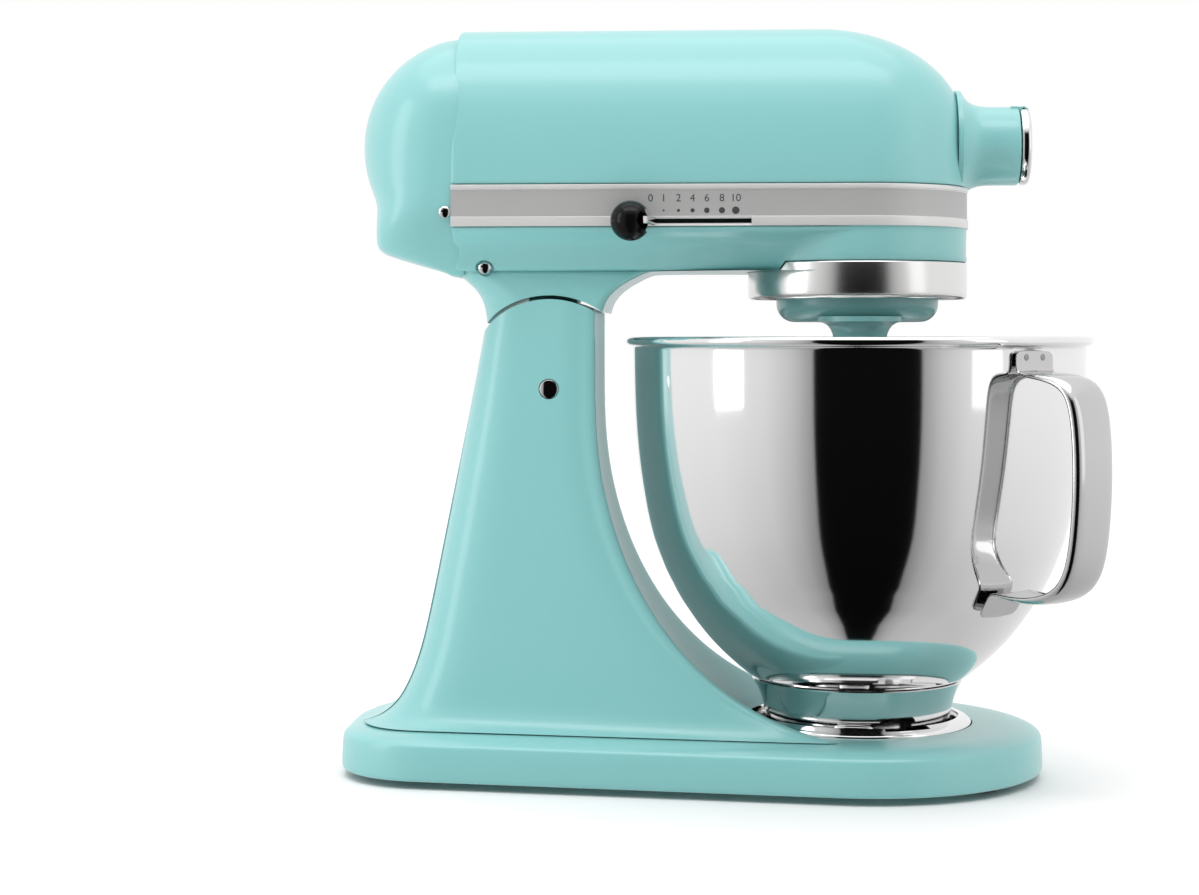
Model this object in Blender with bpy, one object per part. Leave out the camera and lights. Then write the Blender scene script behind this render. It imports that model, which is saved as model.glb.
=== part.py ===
"""Tilt-head stand mixer: base, pedestal, bowl, and a hinged head that holds the motor,
the worm drive, the planetary and the attachment hub.

Lengths below are in millimetres and are scaled to metres when a mesh is made.
The mixer is drawn about the bowl's vertical axis, front towards +X, and is moved
at the end so that the origin is the middle of its footprint on the table.
"""
import math

import bmesh
import bpy
from mathutils import Matrix, Vector

MM = 0.001

# Overall sizes
HEAD_TOP = 352.8          # height of the flat top of the head
BASE_REAR = -244.2        # rear edge of the base, from the bowl's axis
BASE_FRONT_RADIUS = 87.0  # the base's round front
BASE_REAR_HALF = 62.0
BASE_TOP = 24.3

# Hinge between pedestal and head
PIN_X = -144.3
PIN_Z = 182.3
PIN_RADIUS = 4.5
SADDLE_RADIUS = 41.8      # round top of the pedestal
SADDLE_GAP = 1.8
LUG_RADIUS = 12.5         # round end of the head's hinge lug

# Head
HEAD_HALF = 51.7          # half width, and radius of the nose
HEAD_REAR = -188.5
HEAD_FLOOR = 237.2
NOSE_FLOOR = 241.7
SPLIT_Z = 266.6           # where the two head castings meet, behind the trim band
BAND_LOW = 257.0
BAND_HIGH = 276.7
NECK_SCREW_X = -174.3
NECK_SCREW_Z = 238.8
COVER_SCREW_X = -193.0
WALL = 3.6

# Speed control, on the right-hand side
SLOT_REAR = -97.6
SLOT_FRONT = -50.2
KNOB_X = -105.0
KNOB_Z = 259.2

# Hub
HUB_Z = 297.0
HUB_RADIUS = 18.6
HUB_FRONT = 75.7
HUB_PIN_X = 77.9          # pin of the hub's cover
HUB_PIN_Z = 313.6
HUB_BORE = 12.7

# Drive train
MOTOR_Z = 300.0
MODULE = 1.5
RING_TEETH = 56
BEATER_TEETH = 18
CENTER_TEETH = 36
PINION_TEETH = 12
WORM_TEETH = 24
WORM_STARTS = 2
WORM_PITCH_RADIUS = 7.0
BEATER_OFFSET = MODULE * (RING_TEETH - BEATER_TEETH) / 2
WORM_GEAR_Y = WORM_PITCH_RADIUS + MODULE * WORM_TEETH / 2
WORM_GEAR_X = -math.sqrt((MODULE * (CENTER_TEETH + PINION_TEETH) / 2) ** 2 - WORM_GEAR_Y**2)
GEAR_LOW = 275.0
GEAR_HIGH = 287.0

# Planetary
PLANETARY_RADIUS = 38.3
PLANETARY_LOW = 213.6
DRIP_LOW = 224.3

# Bowl
RIM_Z = 204.5
BOWL_WALL = 1.2
HANDLE_ANGLE = math.radians(-47.0)
HANDLE_REACH = 143.0
HANDLE_WIDTH = 25.0
CLAMP_RADIUS = 53.8

# Middle of the footprint, from the bowl's axis
FOOTPRINT_X = -67.0
FOOTPRINT_Y = -1.455


def start():
    for obj in list(bpy.data.objects):
        bpy.data.objects.remove(obj, do_unlink=True)


def material(name, colour, rough, metal, coat=0.0):
    mat = bpy.data.materials.new(name)
    mat.use_nodes = True
    shader = mat.node_tree.nodes["Principled BSDF"]
    shader.inputs["Base Color"].default_value = (*colour, 1.0)
    shader.inputs["Roughness"].default_value = rough
    shader.inputs["Metallic"].default_value = metal
    shader.inputs["Coat Weight"].default_value = coat
    mat.diffuse_color = (*colour, 1.0)
    return mat


def paint(name, colour=(0.31, 0.62, 0.61), rough=0.3):
    return material(name, colour, rough, 0.0, 0.4)


def steel(name, rough=0.25, tone=0.6):
    return material(name, (tone, tone, tone * 0.98), rough, 1.0)


def made(name, bm, mat, smooth=True):
    """Turns a bmesh drawn in millimetres into an object in metres."""
    bmesh.ops.remove_doubles(bm, verts=bm.verts, dist=1e-4)
    bmesh.ops.recalc_face_normals(bm, faces=bm.faces)
    bmesh.ops.scale(bm, vec=(MM, MM, MM), verts=bm.verts)
    mesh = bpy.data.meshes.new(name)
    bm.to_mesh(mesh)
    bm.free()
    if mat is not None:
        mesh.materials.append(mat)
    obj = bpy.data.objects.new(name, mesh)
    bpy.context.scene.collection.objects.link(obj)
    if smooth:
        mesh.shade_smooth()
        mesh.set_sharp_from_angle(angle=math.radians(35))
    return obj


TURN = {
    "Z": Matrix.Identity(4),
    "X": Matrix.Rotation(math.radians(90), 4, "Y"),
    "Y": Matrix.Rotation(math.radians(-90), 4, "X"),
}


def turned(name, profile, mat=None, at=(0, 0, 0), axis="Z", steps=32):
    """A turned solid. The profile is (radius, height) points, and heights run along the axis.
    It either starts and ends on the axis or is a closed ring."""
    bm = bmesh.new()
    verts = [bm.verts.new((r, 0, h)) for r, h in profile]
    for a, b in zip(verts, verts[1:]):
        bm.edges.new((a, b))
    if profile[0][0] > 0 or profile[-1][0] > 0:
        bm.edges.new((verts[-1], verts[0]))
    bmesh.ops.spin(
        bm,
        geom=bm.verts[:] + bm.edges[:],
        cent=(0, 0, 0),
        axis=(0, 0, 1),
        angle=math.tau,
        steps=steps,
        use_merge=True,
    )
    bmesh.ops.remove_doubles(bm, verts=bm.verts, dist=1e-4)
    bmesh.ops.transform(bm, matrix=Matrix.Translation(at) @ TURN[axis], verts=bm.verts)
    return made(name, bm, mat)


def rod(name, radius, low, high, mat=None, at=(0, 0, 0), axis="Z", steps=16):
    return turned(name, [(0, low), (radius, low), (radius, high), (0, high)], mat, at, axis, steps)


def prism(name, outline, low, high, mat=None, axis="Z", smooth=False):
    """An outline extruded along an axis: (x, y) along Z, (x, z) along Y, (y, z) along X."""
    place = {
        "Z": lambda a, b: (a, b, low),
        "Y": lambda a, b: (a, low, b),
        "X": lambda a, b: (low, a, b),
    }[axis]
    bm = bmesh.new()
    face = bm.faces.new([bm.verts.new(place(a, b)) for a, b in outline])
    grown = bmesh.ops.extrude_face_region(bm, geom=[face])
    moved = [v for v in grown["geom"] if isinstance(v, bmesh.types.BMVert)]
    step = {"Z": (0, 0, high - low), "Y": (0, high - low, 0), "X": (high - low, 0, 0)}[axis]
    bmesh.ops.translate(bm, vec=step, verts=moved)
    return made(name, bm, mat, smooth)


def block(name, x, y, z, mat=None):
    return prism(name, [(x[0], y[0]), (x[1], y[0]), (x[1], y[1]), (x[0], y[1])], z[0], z[1], mat)


def lofted(name, rings, mat=None):
    """Skins rings of equal point counts and caps both ends."""
    bm = bmesh.new()
    rows = [[bm.verts.new(p) for p in ring] for ring in rings]
    count = len(rows[0])
    for low, high in zip(rows, rows[1:]):
        for i in range(count):
            j = (i + 1) % count
            bm.faces.new((low[i], low[j], high[j], high[i]))
    bm.faces.new(list(reversed(rows[0])))
    bm.faces.new(rows[-1])
    return made(name, bm, mat)


def boolean(obj, other, operation):
    """Applies an exact Boolean with the other solid, which is then removed."""
    change = obj.modifiers.new(operation.lower(), "BOOLEAN")
    change.operation = operation
    change.solver = "EXACT"
    change.object = other
    bpy.context.view_layer.objects.active = obj
    bpy.ops.object.modifier_apply(modifier=change.name)
    bpy.data.objects.remove(other, do_unlink=True)
    return obj


def cut(obj, *others):
    for other in others:
        boolean(obj, other, "DIFFERENCE")
    return obj


def join(obj, *others):
    for other in others:
        boolean(obj, other, "UNION")
    return obj


def arc(cx, cy, radius, first, last, steps):
    """Points on a circle, angles in degrees."""
    points = []
    for i in range(steps + 1):
        a = math.radians(first + (last - first) * i / steps)
        points.append((cx + radius * math.cos(a), cy + radius * math.sin(a)))
    return points


def bullet(half, rear, steps=18, centre=0.0):
    """Plan of the head: a half round nose, straight sides and a square rear."""
    return arc(centre, 0, half, -90, 90, steps) + [(rear, half), (rear, -half)]


def base_plan(inset, front_steps=20, corner_steps=5):
    """Plan of the base: a round front drawn back to two rounded rear corners."""
    front = BASE_FRONT_RADIUS - inset
    corner = 45.0 - inset
    cx = BASE_REAR + 45.0
    cy = BASE_REAR_HALF - 45.0
    away = math.hypot(cx, cy)
    lean = math.degrees(math.atan2(cy, cx) - math.acos((front - corner) / away))
    right = arc(cx, cy, corner, lean, 180, corner_steps)
    left = [(x, -y) for x, y in reversed(right)]
    return arc(0, 0, front, -lean, lean, front_steps) + right + left


def quad_plan(rear, front, rear_half, front_half, rear_round, front_round, steps=4):
    """A four-cornered plan with rounded corners."""
    points = arc(front - front_round, front_half - front_round, front_round, 0, 90, steps)
    points += arc(rear + rear_round, rear_half - rear_round, rear_round, 90, 180, steps)
    return points + [(x, -y) for x, y in reversed(points)]


def at_height(plan, z):
    return [(x, y, z) for x, y in plan]


def gear_plan(teeth, tip, root, pitch, play, phase=0.0, centre=(0.0, 0.0), inner=False):
    """Straight-flanked teeth. Play is the clearance given on each flank at the pitch circle."""
    lean = math.tan(math.radians(20))
    sign = -1 if inner else 1
    half = math.pi / (2 * teeth) - play / pitch
    tip_half = half - sign * (tip - pitch) * lean / pitch
    root_half = half + sign * (pitch - root) * lean / pitch
    points = []
    for i in range(teeth):
        middle = phase + math.tau * i / teeth
        for radius, turn in (
            (root, -root_half),
            (tip, -tip_half),
            (tip, tip_half),
            (root, root_half),
        ):
            a = middle + turn
            points.append((centre[0] + radius * math.cos(a), centre[1] + radius * math.sin(a)))
    return points


def origin_at(obj, point):
    """Moves an object's origin, in millimetres, and leaves its shape where it is."""
    p = Vector(point) * MM
    obj.data.transform(Matrix.Translation(-p))
    obj.location = p
    return obj


def make_base():
    enamel = paint("enamel_base")
    rings = [
        at_height(base_plan(inset), z)
        for z, inset in ((3.5, 1.0), (5.0, 0.0), (18.5, 0.8), (21.6, 2.6), (23.5, 5.5), (BASE_TOP, 9.0))
    ]
    base = lofted("base_casting", rings, enamel)
    cut(base, lofted("c", [at_height(base_plan(6.0), 1.0), at_height(base_plan(8.0), 20.2)]))
    join(base, rod("boss", 60.0, 13.0, 21.5, steps=40))
    for x, y in FEET:
        join(base, rod("boss", 12.0, 4.6, 21.5, at=(x, y, 0), steps=12))
    cut(base, rod("c", CLAMP_RADIUS + 0.5, 18.2, 40.0, steps=36))
    cut(base, block("c", (-205, -118), (-24, 24), (10, 40)))
    for x, y in FEET:
        cut(base, rod("c", 3.4, 0.0, 10.0, at=(x, y, 0), steps=12))
    for x, y in PEDESTAL_SCREWS:
        cut(base, rod("c", 3.0, 10.0, 40.0, at=(x, y, 0), steps=12))
    for x, y in CLAMP_SCREWS:
        cut(base, rod("c", 2.2, 14.5, 30.0, at=(x, y, 0), steps=10))

    rubber = material("rubber_feet", (0.03, 0.03, 0.03), 0.75, 0.0)
    for i, (x, y) in enumerate(FEET):
        foot = turned(
            f"foot_{i + 1}",
            [(0, 0), (9.0, 0), (10.0, 1.0), (10.0, 4.2), (3.1, 4.2), (3.1, 9.4), (0, 9.4)],
            rubber,
            at=(x, y, 0),
            steps=12,
        )
        origin_at(foot, (x, y, 0))

    zinc = steel("zinc_base_screws", 0.35)
    for i, (x, y) in enumerate(PEDESTAL_SCREWS):
        screw = turned(
            f"pedestal_screw_{i + 1}",
            [(0, 15.0), (5.0, 15.0), (5.0, 19.9), (2.6, 19.9), (2.6, 37.0), (0, 37.0)],
            zinc,
            at=(x, y, 0),
            steps=10,
        )
        origin_at(screw, (x, y, 15.0))

    plate = steel("chrome_clamp_plate", 0.12, 0.75)
    edge = CLAMP_RADIUS
    clamp = turned(
        "bowl_clamp_plate",
        [
            (0, 18.6), (edge, 18.6), (edge, 24.4), (49.0, 27.9), (47.6, 27.6), (47.6, 26.6),
            (51.4, 24.7), (51.4, 20.6), (0, 20.6),
        ],
        plate,
        steps=36,
    )
    for k in range(3):
        middle = LUG_ANGLE + LUG_TWIST + 120 * k
        notch = arc(0, 0, 46.0, middle - 13, middle + 13, 4) + arc(0, 0, 51.3, middle + 13, middle - 13, 4)
        cut(clamp, prism("c", notch, 22.0, 40.0))
    for x, y in CLAMP_SCREWS:
        cut(clamp, rod("c", 2.4, 10.0, 30.0, at=(x, y, 0), steps=10))
    for i, (x, y) in enumerate(CLAMP_SCREWS):
        screw = turned(
            f"clamp_screw_{i + 1}",
            [(0, 15.0), (1.8, 15.0), (1.8, 20.9), (4.2, 20.9), (3.6, 23.0), (0, 23.4)],
            steel(f"steel_clamp_screw_{i + 1}", 0.25),
            at=(x, y, 0),
            steps=10,
        )
        origin_at(screw, (x, y, 15.0))


def pedestal_rings():
    shape = (
        (24.6, -233.4, -16.0, 44.0, 64.0, 30.0, 6.0),
        (30.0, -222.4, -32.0, 40.5, 60.5, 29.0, 6.0),
        (40.0, -213.8, -56.0, 37.8, 55.0, 27.0, 6.0),
        (56.0, -207.0, -78.0, 36.0, 49.0, 25.0, 6.0),
        (83.0, -201.6, -98.0, 34.8, 43.5, 24.0, 6.0),
        (118.8, -194.4, -111.0, 34.0, 39.8, 23.0, 6.0),
        (150.0, -188.1, -113.0, 33.8, 38.4, 22.0, 6.0),
        (190.6, -180.0, -113.0, 33.8, 38.2, 20.0, 6.0),
        (214.0, -175.7, -113.0, 33.8, 38.2, 18.0, 6.0),
        (232.0, -172.5, -113.0, 33.8, 38.2, 16.0, 6.0),
    )
    return [at_height(quad_plan(r, f, rh, fh, rr, fr), z) for z, r, f, rh, fh, rr, fr in shape]


def make_pedestal():
    enamel = paint("enamel_pedestal")
    column = lofted("pedestal", pedestal_rings(), enamel)
    # The front is hollowed round the bowl.
    sweep = [
        (0, 20), (73, 20), (76, 30), (83, 40), (100.3, 60), (119.8, 100), (128.2, 150), (128.2, 245), (0, 245),
    ]
    cut(column, turned("c", sweep, steps=44))
    saddle = arc(PIN_X, PIN_Z, SADDLE_RADIUS, 25, 155, 18)
    cut(column, prism("c", saddle + [(-230, 200), (-230, 260), (-80, 260), (-80, 200)], -60, 60, axis="Y"))
    slot = arc(PIN_X, PIN_Z, LUG_RADIUS + 2.2, -100, 20, 8)
    slot += [(PIN_X + 50 * math.cos(math.radians(68)), PIN_Z + 50 * math.sin(math.radians(68)))]
    slot += arc(PIN_X, PIN_Z, 60, 90, 165, 3)
    slot += arc(PIN_X, PIN_Z, LUG_RADIUS + 2.2, 210, 245, 3)
    cut(column, prism("c", slot, -12.8, 12.8, axis="Y"))
    inner = [
        at_height(quad_plan(r, f, h, h, 10, 4, 2), z)
        for z, r, f, h in ((10, -205, -120, 23.5), (60, -198, -124, 23.5), (100, -190, -134, 23), (152, -180, -136, 21))
    ]
    cut(column, lofted("c", inner))
    cut(column, rod("c", PIN_RADIUS + 0.3, -60, 60, at=(PIN_X, 0, PIN_Z), axis="Y", steps=20))
    for x, y in PEDESTAL_SCREWS:
        cut(column, rod("c", 3.0, 10.0, 38.0, at=(x, y, 0), steps=12))
    origin_at(column, (PIN_X, 0, BASE_TOP))
    pin = rod("hinge_pin", PIN_RADIUS, -36.4, 36.4, steel("chrome_hinge_pin", 0.1, 0.75),
              at=(PIN_X, 0, PIN_Z), axis="Y", steps=20)
    origin_at(pin, (PIN_X, 0, PIN_Z))


def head_rings(inset=0.0, rear=HEAD_REAR):
    """The upper casting by height: (z, half width, furthest forward)."""
    shape = (
        (SPLIT_Z + 0.2, 51.7, 51.7), (284.0, 51.7, 51.9), (298.0, 51.2, 51.0),
        (310.0, 49.4, 48.2), (321.0, 45.4, 43.4), (331.0, 39.4, 36.0),
        (339.0, 31.8, 26.0), (345.6, 23.0, 13.8), (350.4, 13.0, 0.0), (HEAD_TOP, 4.0, -16.0),
    )
    rings = []
    for z, half, front in shape:
        h = half - inset
        reach = front - inset
        if h < 1.5:
            break
        lift = z - inset * (z - 262) / (HEAD_TOP - 262) if inset else z
        plan = []
        centre = min(0.0, reach - h)
        long = reach - centre
        for i in range(17):
            a = math.radians(-90 + 180 * i / 16)
            plan.append((centre + long * math.cos(a), h * math.sin(a)))
        plan += [(rear, h), (rear, -h)]
        rings.append(at_height(plan, lift))
    return rings


def band_groove(low, high, depth=1.6):
    outer = bullet(70.0, -300.0)
    cutter = prism("c", outer, low, high)
    return cut(cutter, prism("c", bullet(HEAD_HALF - depth, -320.0, 32), low - 5, high + 5))


def make_head():
    enamel = paint("enamel_upper_housing")
    upper = lofted("head_upper_housing", head_rings(), enamel)
    join(upper, rod("hub", HUB_RADIUS, 30.0, HUB_FRONT, at=(0, 0, HUB_Z), axis="X", steps=36))
    inner = head_rings(WALL, -260.0)
    inner = [[(x, y, SPLIT_Z - 20) for x, y, z in inner[0]]] + inner
    hollow = lofted("c", inner)
    cut(hollow, rod("c", 17.0, 40.0, 70.0, at=(0, 0, HUB_Z), axis="X", steps=24))
    cut(upper, hollow)
    cut(upper, rod("c", HUB_BORE, 48.0, 90.0, at=(0, 0, HUB_Z), axis="X", steps=28))
    cut(upper, rod("c", 5.4, 30.0, 60.0, at=(0, 0, HUB_Z), axis="X", steps=16))
    cut(upper, rod("c", 3.4, 8.0, 30.0, at=(63.0, 0, HUB_Z), axis="Y", steps=12))
    cut(upper, band_groove(SPLIT_Z - 4, BAND_HIGH))
    # Two ears carry the pin of the hub's cover.
    for side in (-1, 1):
        y = sorted((side * 4.2, side * 7.0))
        ear = [(69.0, 310.4), (76.8, 311.8)] + arc(HUB_PIN_X, HUB_PIN_Z, 1.9, -60, 120, 6) + [(69.0, 315.4)]
        join(upper, prism("ear", ear, y[0], y[1], axis="Y"))
    cut(upper, rod("c", 1.3, -12, 12, at=(HUB_PIN_X, 0, HUB_PIN_Z), axis="Y", steps=10))
    origin_at(upper, (PIN_X, 0, PIN_Z))

    enamel = paint("enamel_lower_housing")
    rings = []
    for z, inset in ((HEAD_FLOOR, 19.0), (238.0, 14.5), (240.4, 8.6), (244.2, 4.2), (250.0, 1.2), (256.0, 0.0), (SPLIT_Z - 0.1, 0.0)):
        rings.append(at_height(bullet(HEAD_HALF - inset, HEAD_REAR), z))
    lower = lofted("head_lower_housing", rings, enamel)
    cut(lower, rod("c", HEAD_HALF + 1.0, 200.0, NOSE_FLOOR + 0.3, steps=40))
    nose = turned(
        "nose",
        [(0, NOSE_FLOOR), (HEAD_HALF, NOSE_FLOOR), (HEAD_HALF + 0.1, 252.0), (HEAD_HALF - 2.0, 262.0), (0, 262.0)],
        steps=44,
    )
    join(lower, nose)
    neck = [
        at_height(quad_plan(r, f, rh, fh, rr, fr), z)
        for z, r, f, rh, fh, rr, fr in (
            (213.0, -174.9, -120.2, 33.8, 38.2, 18, 6),
            (219.4, -175.4, -119.2, 34.0, 38.4, 18, 6),
            (224.2, -177.4, -117.2, 35.0, 39.0, 18, 6),
            (229.0, -180.2, -112.6, 37.0, 40.0, 17, 6),
            (233.8, -187.0, -104.4, 39.5, 41.5, 15, 6),
            (242.0, -188.4, -90.0, 43.5, 43.5, 12, 6),
        )
    ]
    join(lower, lofted("neck", neck))
    hollow = [at_height(bullet(HEAD_HALF - inset, HEAD_REAR - 30), z) for z, inset in ((240.6, 16.0), (247.0, 6.0), (256.0, 4.2), (SPLIT_Z + 5, 4.2))]
    hollow = lofted("c", hollow)
    cut(hollow, rod("c", HEAD_HALF + 1.5, 230.0, 245.4, steps=40))
    cut(lower, hollow)
    cut(lower, rod("c", SADDLE_RADIUS + SADDLE_GAP, -60, 60, at=(PIN_X, 0, PIN_Z), axis="Y", steps=56))
    lug = arc(PIN_X, PIN_Z, LUG_RADIUS, -180, 0, 12) + [(PIN_X + 11.5, 233.0), (PIN_X - 11.5, 233.0)]
    join(lower, prism("lug", lug, -12.0, 12.0, axis="Y"))
    cut(lower, rod("c", PIN_RADIUS + 0.3, -60, 60, at=(PIN_X, 0, PIN_Z), axis="Y", steps=20))
    join(lower, rod("boss", 13.0, 243.0, 262.0, steps=24))
    join(lower, rod("boss", 8.5, 243.0, 257.0, at=(WORM_GEAR_X, WORM_GEAR_Y, 0), steps=16))
    cut(lower, rod("c", 6.5, 200.0, 290.0, steps=24))
    cut(lower, rod("c", 4.4, 246.5, 290.0, at=(WORM_GEAR_X, WORM_GEAR_Y, 0), steps=14))
    cut(lower, band_groove(BAND_LOW, SPLIT_Z + 4))
    cut(lower, block("c", (SLOT_REAR - 0.3, SLOT_FRONT + 0.3), (-60.0, -40.0), (257.6, 261.8)))
    for side in (-1, 1):
        y = sorted((side * 30.0, side * 60.0))
        cut(lower, rod("c", 2.2, y[0], y[1], at=(NECK_SCREW_X, 0, NECK_SCREW_Z), axis="Y", steps=10))
        y = sorted((side * 40.6, side * 60.0))
        cut(lower, rod("c", 4.2, y[0], y[1], at=(NECK_SCREW_X, 0, NECK_SCREW_Z), axis="Y", steps=14))
    cut(lower, rod("c", 3.4, 18.0, 60.0, at=(LOCK_X, 0, LOCK_Z), axis="Y", steps=12))
    cut(lower, rod("c", 3.0, 225.0, 260.0, at=(-103.5, 0, 0), axis="Z", steps=12))
    origin_at(lower, (PIN_X, 0, PIN_Z))

    for i, side in enumerate((-1, 1)):
        screw = turned(
            f"neck_screw_{i + 1}",
            [(0, 31.0), (1.9, 31.0), (1.9, 40.9), (3.8, 40.9), (3.8, 42.6), (2.4, 43.4), (0, 43.4)],
            steel(f"chrome_neck_screw_{i + 1}", 0.15, 0.75),
            axis="Y",
            steps=12,
        )
        screw.data.transform(Matrix.Scale(side, 4, (0, 1, 0)))
        if side < 0:
            screw.data.flip_normals()
        screw.location = Vector((NECK_SCREW_X, 0, NECK_SCREW_Z)) * MM

    screw = turned(
        "height_adjust_screw",
        [(0, 238.4), (2.6, 238.4), (2.6, 243.0), (4.6, 243.0), (4.6, 246.0), (0, 246.0)],
        steel("zinc_adjust_screw", 0.35),
        at=(-103.5, 0, 0),
        steps=12,
    )
    origin_at(screw, (-103.5, 0, 240.0))


def make_band():
    brushed = material("brushed_band", (0.42, 0.43, 0.42), 0.38, 1.0)
    outer = bullet(HEAD_HALF + 0.6, HEAD_REAR, 32)
    band = prism("trim_band", outer, BAND_LOW + 0.3, BAND_HIGH - 0.3, brushed)
    cut(band, prism("c", bullet(HEAD_HALF - 1.2, HEAD_REAR - 10, 32), 240.0, 300.0))
    cut(band, block("c", (SLOT_REAR, SLOT_FRONT), (-60.0, -40.0), (257.9, 261.5)))
    origin_at(band, (PIN_X, 0, PIN_Z))


def cover_rings(inset=0.0, front=HEAD_REAR - 0.3):
    """The rear cover by height: (z, rearmost, half width, squareness)."""
    shape = (
        (235.6, -192.0, 28.0, 5.0), (240.0, -206.5, 39.6, 5.0), (244.8, -222.3, 46.0, 5.0),
        (250.5, -227.5, 49.8, 5.0), (268.7, -227.8, 51.7, 3.9),
        (274.0, -230.8, 51.7, 3.1), (284.0, -235.2, 51.6, 2.5), (298.4, -236.8, 51.2, 2.3),
        (312.0, -234.6, 48.8, 2.2), (324.0, -229.2, 44.0, 2.2), (334.0, -221.4, 36.6, 2.2),
        (341.6, -210.9, 26.8, 2.2), (346.6, -200.8, 16.0, 2.2), (349.2, -191.4, 4.0, 2.2),
    )
    rings = []
    for z, rear, half, square in shape:
        h = half - inset
        back = rear + inset
        if inset and (h < 12 or z < 240 or back > front - 22):
            continue
        ring = []
        for i in range(15):
            a = math.radians(90 + 180 * i / 14)
            c = math.cos(a)
            s = math.sin(a)
            x = -(abs(c) ** (2 / square)) * (HEAD_REAR - 0.3 - back)
            y = math.copysign(abs(s) ** (2 / square), s) * h
            ring.append((HEAD_REAR - 0.3 + x, y, z))
        if inset:
            ring = [(front, ring[0][1], z)] + ring + [(front, ring[-1][1], z)]
        rings.append(ring)
    return rings


def make_rear_cover():
    enamel = paint("enamel_rear_cover")
    cover = lofted("rear_cover", cover_rings(), enamel)
    cut(cover, lofted("c", cover_rings(3.0, -170.0)))
    for side in (-1, 1):
        y = sorted((side * 30.0, side * 70.0))
        cut(cover, rod("c", 2.4, y[0], y[1], at=(COVER_SCREW_X, 0, 264.0), axis="Y", steps=10))
    cut(cover, rod("c", 6.4, 30.0, 70.0, at=(-211.0, 0, 256.0), axis="Y", steps=16))
    origin_at(cover, (PIN_X, 0, PIN_Z))
    for i, side in enumerate((-1, 1)):
        screw = turned(
            f"rear_cover_screw_{i + 1}",
            [(0, 44.0), (2.0, 44.0), (2.0, 52.1), (3.6, 52.1), (3.3, 53.4), (0, 54.0)],
            steel(f"chrome_cover_screw_{i + 1}", 0.15, 0.75),
            axis="Y",
            steps=14,
        )
        screw.data.transform(Matrix.Scale(side, 4, (0, 1, 0)))
        if side < 0:
            screw.data.flip_normals()
        screw.location = Vector((COVER_SCREW_X, 0, 264.0)) * MM
    gland = turned(
        "cord_gland",
        [(2.8, 40.0), (6.0, 40.0), (6.0, 51.9), (8.4, 52.2), (7.4, 55.0), (5.0, 57.6), (2.8, 57.6)],
        material("rubber_gland", (0.03, 0.03, 0.03), 0.6, 0.0),
        axis="Y",
        steps=16,
    )
    gland.location = Vector((-211.0, 0, 256.0)) * MM


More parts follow.
